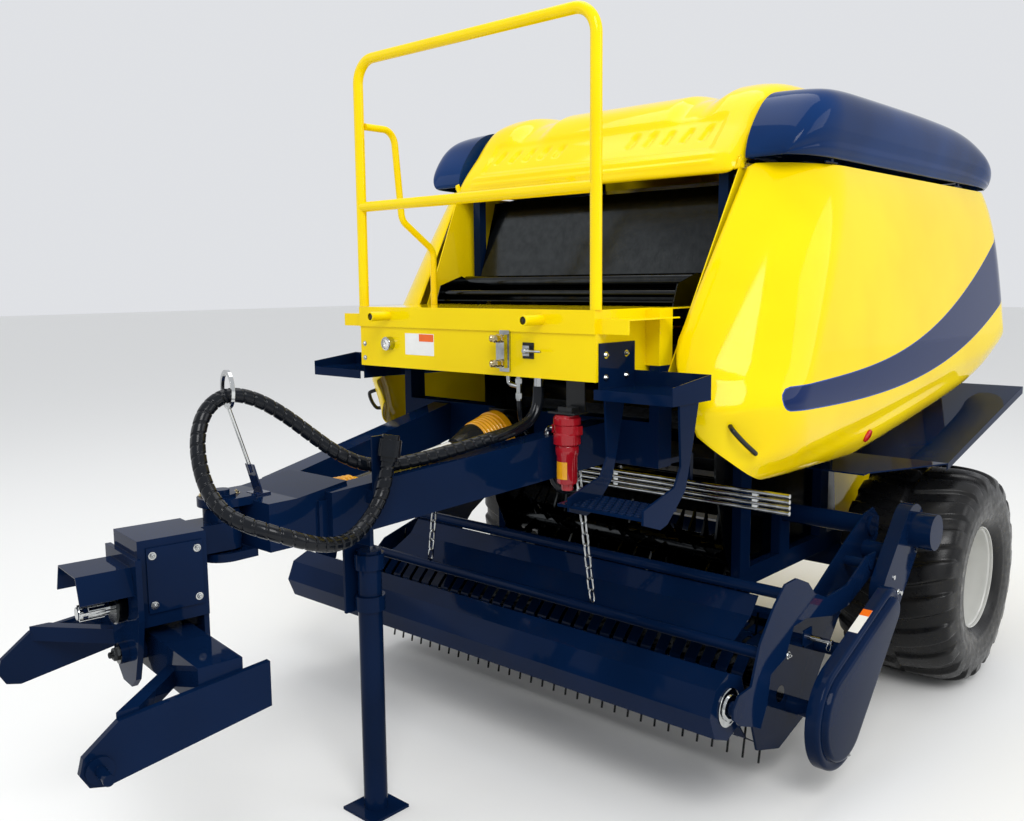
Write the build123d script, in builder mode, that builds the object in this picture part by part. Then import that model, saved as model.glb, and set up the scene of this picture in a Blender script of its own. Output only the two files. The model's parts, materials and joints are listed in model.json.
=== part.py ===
from build123d import *
import os
from math import atan2, cos, radians, sin, tan

# Round baler, towed. Millimetres, +Z up, the front looks along -Y, the machine's left is +X.
# The origin lies on the ground below the middle of the machine's box.

# Clearances
SEAT = 0.3
RUN = 0.05
SHEET = 5.0
PLATE = 8.0

# Wheels and axle
TYRE_R = 472.5
TYRE_W = 500.0
LUG_H = 22.0
LUG_COUNT = 20
TRACK = 2100.0
AXLE_Y = 1220.0
RIM_R = 216.0
RIM_FLANGE_R = 238.0
RIM_W = 436.0
HUB_R = 92.0
HUB_HALF = 130.0
SPINDLE_R = 35.0
AXLE_SIDE = 110.0
AXLE_HALF = 760.0

# Bale chamber
CHAMBER_HALF = 610.0
CHAMBER_Y = 1000.0
CHAMBER_Z = 1400.0
ROLLER_CIRCLE_R = 700.0
CHAMBER_ROLLER_R = 92.0
CHAMBER_SHAFT_R = 25.0
SPLIT_LOW = (1240.0, 560.0)
SPLIT_TOP = (1020.0, 2330.0)

# Frame
RAIL_W = 40.0
RAIL_H = 78.0
RAIL_IN = CHAMBER_HALF + PLATE + SEAT
RAIL_OUT = RAIL_IN + RAIL_W
AXLE_TOP = TYRE_R + AXLE_SIDE / 2
FRAME_FRONT_Y = -350.0
FRAME_POST = 80.0
FRAME_REAR_Y = 1285.0
POST_REAR_Y = 960.0
LOWER_RAIL_Y = 240.0
UPPER_RAIL_Z = 1430.0
CROSS_BEAM_Z = 1190.0
CROSS_BEAM_H = 160.0
TOP_TUBE_Z = 2190.0
TOP_TUBE_H = 40.0
TOP_TUBE_Y = (92.0, 2080.0)

# Tailgate
TAIL_HINGE_Y = 1050.0
TAIL_HINGE_Z = 2400.0
TAIL_PIN_R = 25.0
TAIL_GAP = 12.0
TAIL_COVER_HALF = 722.0
TAIL_HALF = 603.0

# Body panels
HOOD_HALF = 725.0
HOOD_HINGE_Y = 930.0
HOOD_HINGE_Z = 2490.0
HOOD_LUGS_X = (-320.0, 320.0)
HINGE_PIN_R = 8.0
FAIRING_INNER = 735.0
FAIRING_LOW = 2199.0
SEAM_X = 952.0
DOOR_TOP = 2180.0
DOOR_AXIS_X = 945.0
DOOR_AXIS_Z = 2186.0
DOOR_ARMS_Y = (330.0, 1700.0)
DOOR_ARM_Z = 2200.0
DOOR_PIN_R = 4.0
BODY_REAR_Y = 2264.8

# Platform and handrail
DECK_Z = 1669.0
DECK_FRONT_Y = -640.0
DECK_REAR_Y = -320.0
DECK_HALF = 720.0
PANEL_HALF = 600.0
SIDE_DECK_Z = 1640.0
BEAM_LOW_Z = 1590.0
PANEL_LOW_Z = 1432.0
STEP_Z = 1410.0
RAIL_TOP_Z = 2629.0
RAIL_MID_Z = 2065.0
RAIL_TUBE_R = 20.0
RAIL_BEND_R = 90.0
CHEEK_LOW_X = 663.6
CHEEK_TOP_X = 724.0

# Drawbar and hitch
PIVOT_Y = -1663.0
HEAD_TURN = -8.0
DRAWBAR_FRONT_Y = -1400.0
DRAWBAR_FRONT_X = 140.0
DRAWBAR_REAR_X = 420.0
DRAWBAR_W = 90.0
DRAWBAR_H = 150.0
DRAWBAR_FRONT_Z = 1060.0
SWIVEL_PIN_R = 25.0
CLIP_X = 250.0
LINK_PIN_AHEAD = 505.0
LINK_PIN_Z = 623.0
ROLL_Z = 742.0
ROLL_PIN_R = 30.0

# Parking stand
STAND_X = 100.0
STAND_Y = -1195.0
STAND_R = 40.0
STAND_TOP_Z = 900.0
STAND_FOOT = 78.0

# Pickup
PICKUP_PLATE_X = 1022.0
PIVOT_TUBE_R = 40.0
PICKUP_PIVOT_Y = 620.0
PICKUP_PIVOT_Z = 780.0
REEL_Y = -130.0
REEL_Z = 320.0
REEL_TIP_R = 262.0
REEL_BAR_CIRCLE_R = 130.0
REEL_SHAFT_R = 30.0
BAND_R = 185.0
TINE_PITCH = 63.0
TINE_COUNT = 32
TINE_SIDE = 6.0
ROTOR_Y = 370.0
ROTOR_Z = 620.0
ROTOR_TIP_R = 170.0
ROTOR_CORE_R = 70.0
GUARD_PIVOT_Y = 385.0
GUARD_PIVOT_Z = 690.0
GUARD_PIN_R = 20.0
GUARD_ARM_X = 1120.0
CROP_ROLLER_Y = -590.0
CROP_ROLLER_Z = 444.0
CROP_ROLLER_R = 110.0
CROP_ROLLER_HALF = 1085.0
CROP_SHAFT_R = 25.0


def block(x0, x1, y0, y1, z0, z1):
    """Rectangular bar between two corners."""
    with BuildPart() as made:
        with BuildSketch(Plane.XY.offset(z0)):
            with Locations(((x0 + x1) / 2, (y0 + y1) / 2)):
                Rectangle(x1 - x0, y1 - y0)
        extrude(amount=z1 - z0)
    return made.part


def rod_x(x0, x1, y, z, r):
    """Round bar across the machine."""
    with BuildPart() as made:
        with BuildSketch(Plane.YZ.offset(x0)):
            with Locations((y, z)):
                Circle(r)
        extrude(amount=x1 - x0)
    return made.part


def rod_y(y0, y1, x, z, r):
    """Round bar along the machine."""
    with BuildPart() as made:
        with BuildSketch(Plane.XZ.offset(-y1)):
            with Locations((x, z)):
                Circle(r)
        extrude(amount=y1 - y0)
    return made.part


def rod_z(z0, z1, x, y, r):
    """Upright round bar."""
    with BuildPart() as made:
        with BuildSketch(Plane.XY.offset(z0)):
            with Locations((x, y)):
                Circle(r)
        extrude(amount=z1 - z0)
    return made.part


def side_plate(points, x0, x1):
    """Plate seen from the side: its outline in Y and Z, from x0 to x1."""
    with BuildPart() as made:
        with BuildSketch(Plane.YZ.offset(x0)):
            with BuildLine():
                Polyline(*points, close=True)
            make_face()
        extrude(amount=x1 - x0)
    return made.part


def front_plate(points, y0, y1):
    """Plate seen from the front: its outline in X and Z, from y0 to y1."""
    with BuildPart() as made:
        with BuildSketch(Plane.XZ.offset(-y1)):
            with BuildLine():
                Polyline(*points, close=True)
            make_face()
        extrude(amount=y1 - y0)
    return made.part


def top_plate(points, z0, z1):
    """Plate seen from above: its outline in X and Y, from z0 to z1."""
    with BuildPart() as made:
        with BuildSketch(Plane.XY.offset(z0)):
            with BuildLine():
                Polyline(*points, close=True)
            make_face()
        extrude(amount=z1 - z0)
    return made.part


def bent_tube(points, bend_r, r):
    """Round tube along straight runs with equal bends."""
    with BuildPart() as made:
        with BuildLine() as path:
            if len(points) > 2:
                FilletPolyline(*points, radius=bend_r)
            else:
                Line(*points)
        with BuildSketch(Plane(path.line @ 0, z_dir=path.line % 0)):
            Circle(r)
        sweep()
    return made.part


def ribbon(points, thick):
    """Closed outline of a sheet of even thickness along a line, mitred at its bends."""
    upper, lower = [], []
    last = len(points) - 1
    for i, point in enumerate(points):
        back, ahead = points[max(i - 1, 0)], points[min(i + 1, last)]
        turn_in = atan2(point[1] - back[1], point[0] - back[0]) if i else None
        turn_out = atan2(ahead[1] - point[1], ahead[0] - point[0]) if i < last else turn_in
        turn_in = turn_out if turn_in is None else turn_in
        half = (turn_out - turn_in) / 2
        reach = thick / 2 / cos(half)
        normal = turn_in + half + radians(90)
        upper.append((point[0] + reach * cos(normal), point[1] + reach * sin(normal)))
        lower.append((point[0] - reach * cos(normal), point[1] - reach * sin(normal)))
    return upper + lower[::-1]


def strip(points, thick, x0, x1):
    """Sheet bent across the machine: a line in Y and Z with a thickness, from x0 to x1."""
    return side_plate(ribbon(points, thick), x0, x1)


def mirrored(part):
    """The same piece for the machine's right side."""
    return part.mirror(Plane.YZ)


def both(x0, x1):
    """The same span across the machine on its left and on its right, each from low to high."""
    return ((x0, x1), (-x1, -x0))


os.makedirs("parts", exist_ok=True)


def save(part, name):
    """Label a finished piece and write it to its own file."""
    part.label = name
    export_step(part, "parts/" + name + ".step")


# Main frame: axle, rails, posts and the arms that carry the fairings and side doors
with BuildPart() as main_frame:
    add(block(-AXLE_HALF, AXLE_HALF, AXLE_Y - AXLE_SIDE / 2, AXLE_Y + AXLE_SIDE / 2,
              TYRE_R - AXLE_SIDE / 2, AXLE_TOP))
    for x0, x1 in both(RAIL_IN, RAIL_OUT):
        add(block(x0, x1, LOWER_RAIL_Y, FRAME_REAR_Y, AXLE_TOP, AXLE_TOP + RAIL_H))
        add(block(x0, x1, LOWER_RAIL_Y, LOWER_RAIL_Y + FRAME_POST, AXLE_TOP, UPPER_RAIL_Z))
        add(block(x0, x1, FRAME_FRONT_Y, FRAME_FRONT_Y + FRAME_POST, CROSS_BEAM_Z - CROSS_BEAM_H / 2,
                  UPPER_RAIL_Z + RAIL_W))
        add(block(x0, x1, POST_REAR_Y, POST_REAR_Y + FRAME_POST, AXLE_TOP, TAIL_HINGE_Z + 20))
        add(side_plate([(POST_REAR_Y, TAIL_HINGE_Z - 60), (TAIL_HINGE_Y + 40, TAIL_HINGE_Z - 60),
                        (TAIL_HINGE_Y + 40, TAIL_HINGE_Z + 30), (POST_REAR_Y, TAIL_HINGE_Z + 30)], x0, x1))
        add(block(x0, x1, TOP_TUBE_Y[0], TOP_TUBE_Y[1], TOP_TUBE_Z - TOP_TUBE_H, TOP_TUBE_Z))
        add(block(x0, x1, TOP_TUBE_Y[0], TOP_TUBE_Y[0] + RAIL_W, UPPER_RAIL_Z, TOP_TUBE_Z))
        add(block(x0, x1, FRAME_FRONT_Y, POST_REAR_Y, UPPER_RAIL_Z, UPPER_RAIL_Z + RAIL_W))
        add(block(x0, x1, HOOD_HINGE_Y - 60, POST_REAR_Y + 10, 2380, TAIL_HINGE_Z + 20))
        add(block(x0, x1, PICKUP_PIVOT_Y - 45, PICKUP_PIVOT_Y + 45, AXLE_TOP, PICKUP_PIVOT_Z + 50))
        for arm_y in DOOR_ARMS_Y:
            add(block(x0, x1, arm_y - 20, arm_y + 20, TOP_TUBE_Z, DOOR_ARM_Z + 20))
    for x0, x1 in both(CHAMBER_HALF - 22, RAIL_OUT):
        add(rod_x(x0, x1, TAIL_HINGE_Y, TAIL_HINGE_Z, TAIL_PIN_R - RUN))
    for x0, x1 in both(AXLE_HALF, TRACK / 2 + 40):
        add(rod_x(x0, x1, AXLE_Y, TYRE_R, SPINDLE_R - RUN))
    for x0, x1 in both(AXLE_HALF, TRACK / 2 - HUB_HALF - SEAT):
        add(rod_x(x0, x1, AXLE_Y, TYRE_R, SPINDLE_R + 15))
    for x0, x1 in both(RAIL_OUT, PICKUP_PLATE_X + PLATE + 10):
        add(rod_x(x0, x1, PICKUP_PIVOT_Y, PICKUP_PIVOT_Z, PIVOT_TUBE_R - RUN))
    for arm_y in DOOR_ARMS_Y:
        for x0, x1 in both(RAIL_OUT, DOOR_AXIS_X + 5):
            add(block(x0, x1, arm_y - 10, arm_y + 10, DOOR_ARM_Z, DOOR_ARM_Z + 20))
        for x0, x1 in both(DOOR_AXIS_X - 5, DOOR_AXIS_X + 5):
            add(block(x0, x1, arm_y - 10, arm_y + 10, DOOR_AXIS_Z, DOOR_ARM_Z))
        for side in (-1, 1):
            add(rod_y(arm_y - 50, arm_y + 50, side * DOOR_AXIS_X, DOOR_AXIS_Z, DOOR_PIN_R - RUN))
    add(block(-RAIL_OUT, RAIL_OUT, FRAME_FRONT_Y, FRAME_FRONT_Y + FRAME_POST,
              CROSS_BEAM_Z - CROSS_BEAM_H / 2, CROSS_BEAM_Z + CROSS_BEAM_H / 2))
    add(block(-RAIL_IN, RAIL_IN, HOOD_HINGE_Y - 60, HOOD_HINGE_Y - 20, 2380, TAIL_HINGE_Z + 20))
    for x in HOOD_LUGS_X:
        add(side_plate([(HOOD_HINGE_Y - 60, 2410), (HOOD_HINGE_Y - 20, 2410),
                        (HOOD_HINGE_Y + 12, HOOD_HINGE_Z - 10), (HOOD_HINGE_Y + 12, HOOD_HINGE_Z + 10),
                        (HOOD_HINGE_Y - 12, HOOD_HINGE_Z + 10)], x - 10, x + 10))
        add(rod_x(x - 40, x + 40, HOOD_HINGE_Y, HOOD_HINGE_Z, HINGE_PIN_R - RUN))
    for x0, x1 in both(RAIL_IN, RAIL_IN + 20):
        add(block(x0, x1, FRAME_FRONT_Y + FRAME_POST, -90, CROSS_BEAM_Z - CROSS_BEAM_H / 2,
                  CROSS_BEAM_Z - CROSS_BEAM_H / 2 + 20))
        add(block(x0, x1, -110, -90, 960, CROSS_BEAM_Z - CROSS_BEAM_H / 2 + 20))
save(main_frame.part, "main_frame")

# Bale chamber: front walls and rollers
with BuildPart() as chamber_walls:
    outline = [(SPLIT_LOW[0] - TAIL_GAP, SPLIT_LOW[1]), (260, 560), (180, 720), (110, 1000), (110, 1500),
               (220, 1900), (500, 2200), (SPLIT_TOP[0] - TAIL_GAP, SPLIT_TOP[1] - 30)]
    for x0, x1 in both(CHAMBER_HALF, CHAMBER_HALF + PLATE):
        add(side_plate(outline, x0, x1))
        add(rod_x(x0, x1, ROTOR_Y, ROTOR_Z, REEL_SHAFT_R), mode=Mode.SUBTRACT)
save(chamber_walls.part, "chamber_walls")


def chamber_rollers(angles, half):
    """Ribbed rollers round the bale, one at each angle on the roller circle."""
    with BuildPart() as made:
        for angle in angles:
            y = CHAMBER_Y + ROLLER_CIRCLE_R * cos(radians(angle))
            z = CHAMBER_Z + ROLLER_CIRCLE_R * sin(radians(angle))
            with BuildSketch(Plane.YZ.offset(-half + 12)):
                with Locations((y, z)):
                    RegularPolygon(CHAMBER_ROLLER_R, 10)
            extrude(amount=2 * half - 24)
            with BuildSketch(Plane.YZ.offset(-half + SEAT)):
                with Locations((y, z)):
                    RegularPolygon(CHAMBER_SHAFT_R, 8)
            extrude(amount=2 * half - 2 * SEAT)
    return made.part


FRONT_ROLLER_ANGLES = (104, 122, 140, 158, 176, 194, 212, 246, 264)
TAIL_ROLLER_ANGLES = (-68, -51, -34, -17, 0, 17, 34, 51, 68)
save(chamber_rollers(FRONT_ROLLER_ANGLES, CHAMBER_HALF), "front_rollers")

# Tailgate: side plates, outer cover and rollers
TAIL_OUTLINE = [SPLIT_LOW, SPLIT_TOP, (TAIL_HINGE_Y - 32, TAIL_HINGE_Z + 44), (1900, 2444), (2200, 2100),
                (2215, 1450), (2040, 900), (1560, 640)]
with BuildPart() as tailgate:
    for x0, x1 in both(TAIL_HALF, TAIL_HALF + PLATE):
        add(side_plate(TAIL_OUTLINE, x0, x1))
    cover = [(1110, TAIL_HINGE_Z + 44)] + TAIL_OUTLINE[3:] + [(1340, 606)]
    add(strip(cover, SHEET, -TAIL_COVER_HALF, TAIL_COVER_HALF))
    add(rod_x(-TAIL_COVER_HALF, TAIL_COVER_HALF, TAIL_HINGE_Y, TAIL_HINGE_Z, TAIL_PIN_R),
        mode=Mode.SUBTRACT)
save(tailgate.part, "tailgate")
save(chamber_rollers(TAIL_ROLLER_ANGLES, TAIL_HALF), "tailgate_rollers")

# Net box between the yellow cheeks
NET_HALF = 612.0
with BuildPart() as net_box:
    add(strip([(60, 1690), (190, 2120), (420, 2160)], 3, -NET_HALF, NET_HALF))
    add(strip([(-200, 1686), (60, 1686), (60, 1700)], 4, -NET_HALF, NET_HALF))
    for y, z, r in ((-150, 1716, 12), (-60, 1712, 12), (0, 1760, 30)):
        add(rod_x(-NET_HALF, NET_HALF, y, z, r))
    for x0, x1 in both(NET_HALF - 3, NET_HALF + 1):
        add(side_plate([(-200, DECK_Z + SEAT), (59.5, DECK_Z + SEAT), (59.5, 1750), (-40, 1790),
                        (-170, 1750)], x0, x1))
save(net_box.part, "net_box")

with BuildPart() as cheeks:
    for side in (-1, 1):
        add(front_plate([(side * (CHEEK_LOW_X - SHEET), 1440), (side * CHEEK_LOW_X, 1440),
                         (side * CHEEK_TOP_X, 2186), (side * (CHEEK_TOP_X - SHEET), 2186)], -300, 330))
    add(side_plate([(-310, 1430), (-310, 2196), (75, 2196), (-306, 1430)], -800, 800), mode=Mode.SUBTRACT)
save(cheeks.part, "net_box_cheeks")

# Platform: deck, front beam, panel and sockets
with BuildPart() as platform:
    add(top_plate([(-PANEL_HALF, DECK_FRONT_Y), (PANEL_HALF, DECK_FRONT_Y), (PANEL_HALF, DECK_REAR_Y),
                   (654, DECK_REAR_Y), (654, 88), (-654, 88), (-654, DECK_REAR_Y),
                   (-PANEL_HALF, DECK_REAR_Y)], DECK_Z - SHEET, DECK_Z))
    add(block(-PANEL_HALF, PANEL_HALF, DECK_FRONT_Y, DECK_FRONT_Y + 60, BEAM_LOW_Z, DECK_Z - SHEET))
    add(block(-PANEL_HALF, PANEL_HALF, DECK_FRONT_Y + 6, DECK_FRONT_Y + 12, PANEL_LOW_Z, BEAM_LOW_Z))
    for x0, x1 in both(PANEL_HALF - 6, PANEL_HALF):
        add(side_plate([(DECK_FRONT_Y + 6, PANEL_LOW_Z), (DECK_FRONT_Y + 6, DECK_Z - SHEET),
                        (DECK_REAR_Y, DECK_Z - SHEET), (DECK_REAR_Y, PANEL_LOW_Z)], x0, x1))
    for x0, x1 in both(PANEL_HALF - 6, RAIL_OUT):
        add(block(x0, x1, FRAME_FRONT_Y, FRAME_FRONT_Y + FRAME_POST, UPPER_RAIL_Z + RAIL_W + SEAT,
                  DECK_Z - SHEET))
    for x0, x1 in both(PANEL_HALF, DECK_HALF):
        add(block(x0, x1, DECK_FRONT_Y + 20, DECK_REAR_Y, SIDE_DECK_Z - SHEET, SIDE_DECK_Z))
        add(block(x0, x1, DECK_FRONT_Y + 20, DECK_FRONT_Y + 26, SIDE_DECK_Z - 50, SIDE_DECK_Z))
    for x in (-420, 370):
        add(rod_y(DECK_FRONT_Y - 90, DECK_FRONT_Y, x, 1634, 18))
save(platform.part, "platform")

# Handrail on the front beam and the bent side rail
with BuildPart() as handrail:
    rail_y = DECK_FRONT_Y + RAIL_TUBE_R
    rail_x = PANEL_HALF - RAIL_TUBE_R / 2
    low = DECK_Z + SEAT
    add(bent_tube([(-rail_x, rail_y, low), (-rail_x, rail_y, RAIL_TOP_Z), (rail_x, rail_y, RAIL_TOP_Z),
                   (rail_x, rail_y, low)], RAIL_BEND_R, RAIL_TUBE_R))
    add(rod_x(-rail_x, rail_x, rail_y, RAIL_MID_Z, RAIL_TUBE_R))
save(handrail.part, "handrail")

with BuildPart() as side_rail:
    rail_x = -PANEL_HALF + 20
    add(bent_tube([(rail_x, DECK_FRONT_Y + 2 * RAIL_TUBE_R + SEAT, 2380), (rail_x, DECK_FRONT_Y + 190, 2380),
                   (rail_x, DECK_FRONT_Y + 225, 2020), (rail_x, DECK_FRONT_Y + 400, 1900),
                   (rail_x, DECK_FRONT_Y + 400, DECK_Z + SEAT)], 60, 14))
save(side_rail.part, "side_rail")

# Steps: one plate each side under the deck, and the ladder on the left
STEP_OUT = 905.0
with BuildPart() as step_left:
    step_in = PANEL_HALF + SEAT
    add(block(step_in, STEP_OUT, -645, -420, STEP_Z - 4, STEP_Z))
    add(block(step_in, STEP_OUT, -645, -641, STEP_Z - 34, STEP_Z))
    add(side_plate([(-645, STEP_Z - 34), (-645, STEP_Z + 25), (-420, STEP_Z + 50), (-420, STEP_Z - 34)],
                   STEP_OUT - 4, STEP_OUT))
    add(block(step_in, PANEL_HALF + 5, -620, -420, STEP_Z - 34, STEP_Z + 150))
    add(block(step_in, STEP_OUT, -424, -420, STEP_Z - 34, STEP_Z + 50))
save(step_left.part, "step_left")
save(mirrored(step_left.part), "step_right")

with BuildPart() as ladder:
    arm = [(-480, STEP_Z - 4 - SEAT), (-600, STEP_Z - 4 - SEAT), (-585, 1180), (-620, 1120), (-790, 1075),
           (-790, 1030), (-700, 1000), (-660, 1010), (-560, 1100), (-530, 1200)]
    for x0 in (PANEL_HALF + 5 + SEAT, STEP_OUT - 4 - SEAT - PLATE):
        add(side_plate(arm, x0, x0 + PLATE))
    add(block(560, 895, -785, -600, 1040, 1050))
save(ladder.part, "ladder")


# Side doors: bulged panels with a front and a rear return, hung under the fairings
def door_volume(inset):
    """The door's outer form, or the space inside its sheet when inset is the sheet's thickness."""
    with BuildPart() as made:
        with BuildSketch(Plane.YZ.offset(600)):
            with BuildLine():
                Polyline((90 + inset, DOOR_TOP - inset), (-350 + inset, 1450), (-390 + inset, 1330),
                         (-300 + inset, 1150), (-130, 1060 + inset), (600, 1048 + inset),
                         (2040, 1312 + inset), (BODY_REAR_Y - inset, 1440),
                         (BODY_REAR_Y - 20 - inset, 1640), (2170 - inset, DOOR_TOP - inset), close=True)
            make_face()
        extrude(amount=520)
        with BuildSketch(Plane.XZ.offset(500)):
            with BuildLine():
                Polyline((900, 1040), (600, 1040), (600, DOOR_TOP + 10), (SEAM_X - inset, DOOR_TOP + 10),
                         (SEAM_X - inset, DOOR_TOP))
                ThreePointArc((SEAM_X - inset, DOOR_TOP), (1032 - inset, 1820), (1062 - inset, 1440))
                ThreePointArc((1062 - inset, 1440), (1040 - inset, 1200), (965 - inset, 1040))
                Line((965 - inset, 1040), (900, 1040))
            make_face()
        extrude(amount=-3000, mode=Mode.INTERSECT)
    return made.part


with BuildPart() as door_left:
    add(door_volume(0))
    add(door_volume(SHEET), mode=Mode.SUBTRACT)
    add(block(560, FAIRING_INNER + 5, 200, 2500, 900, 2300), mode=Mode.SUBTRACT)
    add(block(560, SEAM_X - 60, 200, 2100, 900, 1350), mode=Mode.SUBTRACT)
    add(front_plate([(560, 900), (560, 2300), (740, 2300), (740, 2185), (676, 1455), (945, 1050),
                     (945, 900)], -500, 2500), mode=Mode.SUBTRACT)
    add(rod_y(110, 2150, DOOR_AXIS_X, DOOR_AXIS_Z, 7))
    for arm_y in DOOR_ARMS_Y:
        add(block(DOOR_AXIS_X - 12, DOOR_AXIS_X + 12, arm_y - 15, arm_y + 15, DOOR_AXIS_Z - 14,
                  DOOR_AXIS_Z + 12), mode=Mode.SUBTRACT)
        add(rod_y(arm_y - 56, arm_y + 56, DOOR_AXIS_X, DOOR_AXIS_Z, DOOR_PIN_R), mode=Mode.SUBTRACT)
    add(rod_y(-368, -330, 900, 1227, 13))
save(door_left.part, "door_left")
save(mirrored(door_left.part), "door_right")


# Top fairings
def fairing_volume(inset):
    """The fairing's outer form, or the space inside its sheet."""
    with BuildPart() as made:
        with BuildSketch(Plane.YZ.offset(600)):
            with BuildLine():
                Polyline((75 + inset, FAIRING_LOW), (130 + inset, 2300), (280, 2460 - inset),
                         (1500, 2466 - inset), (1900, 2400 - inset), (2190 - inset, FAIRING_LOW), close=True)
            make_face()
        extrude(amount=520)
        with BuildSketch(Plane.XZ.offset(500)):
            with BuildLine():
                Polyline((SEAM_X + 4 - inset, FAIRING_LOW), (FAIRING_INNER + inset, FAIRING_LOW),
                         (FAIRING_INNER + inset, 2476 - inset), (860, 2466 - inset))
                ThreePointArc((860, 2466 - inset), (950 - inset * 0.7, 2420 - inset * 0.7), (985 - inset, 2330))
                Line((985 - inset, 2330), (SEAM_X + 4 - inset, FAIRING_LOW))
            make_face()
        extrude(amount=-3000, mode=Mode.INTERSECT)
    return made.part


with BuildPart() as fairing_left:
    add(fairing_volume(0))
    add(fairing_volume(SHEET), mode=Mode.SUBTRACT)
    add(block(FAIRING_INNER - 5, FAIRING_INNER + 10, 0, 2400, FAIRING_LOW - 5, DOOR_ARM_Z + 20 + SEAT),
        mode=Mode.SUBTRACT)
save(fairing_left.part, "fairing_left")
save(mirrored(fairing_left.part), "fairing_right")

# Hood over the net box
with BuildPart() as hood:
    HOOD_LINE = [(40, 2150), (70, 2215), (230, 2410), (470, 2515), (HOOD_HINGE_Y + 28, 2515)]
    add(strip(HOOD_LINE, SHEET, -HOOD_HALF, HOOD_HALF))
    for x0, x1 in both(HOOD_HALF - SHEET, HOOD_HALF):
        add(side_plate(HOOD_LINE[1:] + [(HOOD_HINGE_Y + 28, 2440), (700, DOOR_ARM_Z + 26),
                                        (75, DOOR_ARM_Z + 26)], x0, x1))
    for x in HOOD_LUGS_X:
        for x0 in (x - 34, x + 16):
            add(block(x0, x0 + 18, HOOD_HINGE_Y - 14, HOOD_HINGE_Y + 14, HOOD_HINGE_Z - 14, 2514))
            add(rod_x(x0, x0 + 18, HOOD_HINGE_Y, HOOD_HINGE_Z, HINGE_PIN_R), mode=Mode.SUBTRACT)
save(hood.part, "hood")

# Mudguards over the tyres
with BuildPart() as fender_left:
    add(strip([(600, 985), (973, 1000), (2000, 1231)], 6, RAIL_OUT + SEAT, 1200))
    add(side_plate([(973, 975), (2000, 1200), (2000, 1231), (973, 1000)], 1194, 1200))
    add(top_plate([(1260, 500), (1260, 973), (1200, 973), (1000, 640), (1000, 500)], 900, 1300),
        mode=Mode.SUBTRACT)
save(fender_left.part, "fender_left")
save(mirrored(fender_left.part), "fender_right")

# Drawbar: two beams, front box and the plates that hold the swivel pin
with BuildPart() as drawbar:
    beam_y = FRAME_FRONT_Y - SEAT
    for side in (-1, 1):
        lean = side * (DRAWBAR_REAR_X - DRAWBAR_FRONT_X)
        start_x = side * DRAWBAR_FRONT_X
        low = [(start_x - DRAWBAR_W / 2, DRAWBAR_FRONT_Y), (start_x + DRAWBAR_W / 2, DRAWBAR_FRONT_Y),
               (start_x + lean + DRAWBAR_W / 2, beam_y), (start_x + lean - DRAWBAR_W / 2, beam_y)]
        with BuildPart() as beam:
            add(top_plate(low, 900, 1400))
            add(side_plate([(DRAWBAR_FRONT_Y, DRAWBAR_FRONT_Z - DRAWBAR_H / 2),
                            (beam_y, CROSS_BEAM_Z - DRAWBAR_H / 2), (beam_y, CROSS_BEAM_Z + DRAWBAR_H / 2),
                            (DRAWBAR_FRONT_Y, DRAWBAR_FRONT_Z + DRAWBAR_H / 2)], -700, 700),
                mode=Mode.INTERSECT)
        add(beam.part)
    add(side_plate([(-1600, 985), (-1315, 985), (-1315, 1155), (-1500, 1130), (-1600, 1130)], -150, 150))
    add(side_plate([(-1590, 993), (-1300, 993), (-1300, 1145), (-1500, 1122), (-1590, 1122)], -142, 142),
        mode=Mode.SUBTRACT)
    for x0, x1 in both(140, 160):
        add(block(x0, x1, -1430, -1330, 995, 1110))
    for z0 in (960, 1120):
        add(block(-70, 70, PIVOT_Y, -1590, z0, z0 + 25))
        add(rod_z(z0, z0 + 25, 0, PIVOT_Y, 70))
    add(rod_z(950, 1165, 0, PIVOT_Y, SWIVEL_PIN_R - RUN))
    add(rod_z(1145, 1153, 0, PIVOT_Y, SWIVEL_PIN_R + 18))
    add(block(196, CLIP_X, -1292, -1236, 1090, 1130))
    add(block(CLIP_X - 6, CLIP_X, -1292, -1236, 1090, 1300))
    add(block(STAND_X - STAND_R - 12, STAND_X - STAND_R - 2, STAND_Y - 67, STAND_Y + 40, 690, 1020))
    add(block(STAND_X - STAND_R - 12, 190, STAND_Y - 67, STAND_Y - 52, 940, 1020))
    for z0 in (700, 840):
        add(rod_z(z0, z0 + 50, STAND_X, STAND_Y, STAND_R + 10))
    add(rod_z(600, 1300, STAND_X, STAND_Y, STAND_R + RUN), mode=Mode.SUBTRACT)
save(drawbar.part, "drawbar")

# Driveline from the swivel to the gearbox, with its bellows
SHAFT_R = 20.0
DRIVE_START = Plane(origin=(0, -1575, 1032), z_dir=(0, 1165, 163))
DRIVE_LENGTH = 1176.0
with BuildPart() as drive:
    with BuildSketch(Plane.XZ):
        with BuildLine():
            Polyline((0, 0), (SHAFT_R, 0), (SHAFT_R, 265), (60, 265), (56, 340), (44, 420), (34, 425),
                     (34, 900), (44, 905), (72, 990), (80, 1000), (74, 1012), (84, 1026), (78, 1038),
                     (88, 1052), (82, 1064), (90, 1080), (90, 1118), (SHAFT_R, 1118),
                     (SHAFT_R, DRIVE_LENGTH), (0, DRIVE_LENGTH), close=True)
        make_face()
    revolve(axis=Axis.Z)
driveline = DRIVE_START.location * drive.part
save(driveline, "driveline")

with BuildPart() as gearbox:
    add(block(-85, 85, -425, FRAME_FRONT_Y - SEAT, 1105, 1275))
    add(rod_y(-440, -425, 0, 1192, 60))
    with BuildSketch(DRIVE_START):
        Circle(SHAFT_R + SEAT)
    extrude(amount=DRIVE_LENGTH + 4, mode=Mode.SUBTRACT)
save(gearbox.part, "gearbox")

# Hitch head turned on the swivel pin, built straight and turned with the hitch
HEAD = Location((0, PIVOT_Y, 0), (0, 0, HEAD_TURN))


def turned(part):
    """Put a piece of the hitch head, built about the pivot, in its place."""
    return HEAD * part


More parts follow.
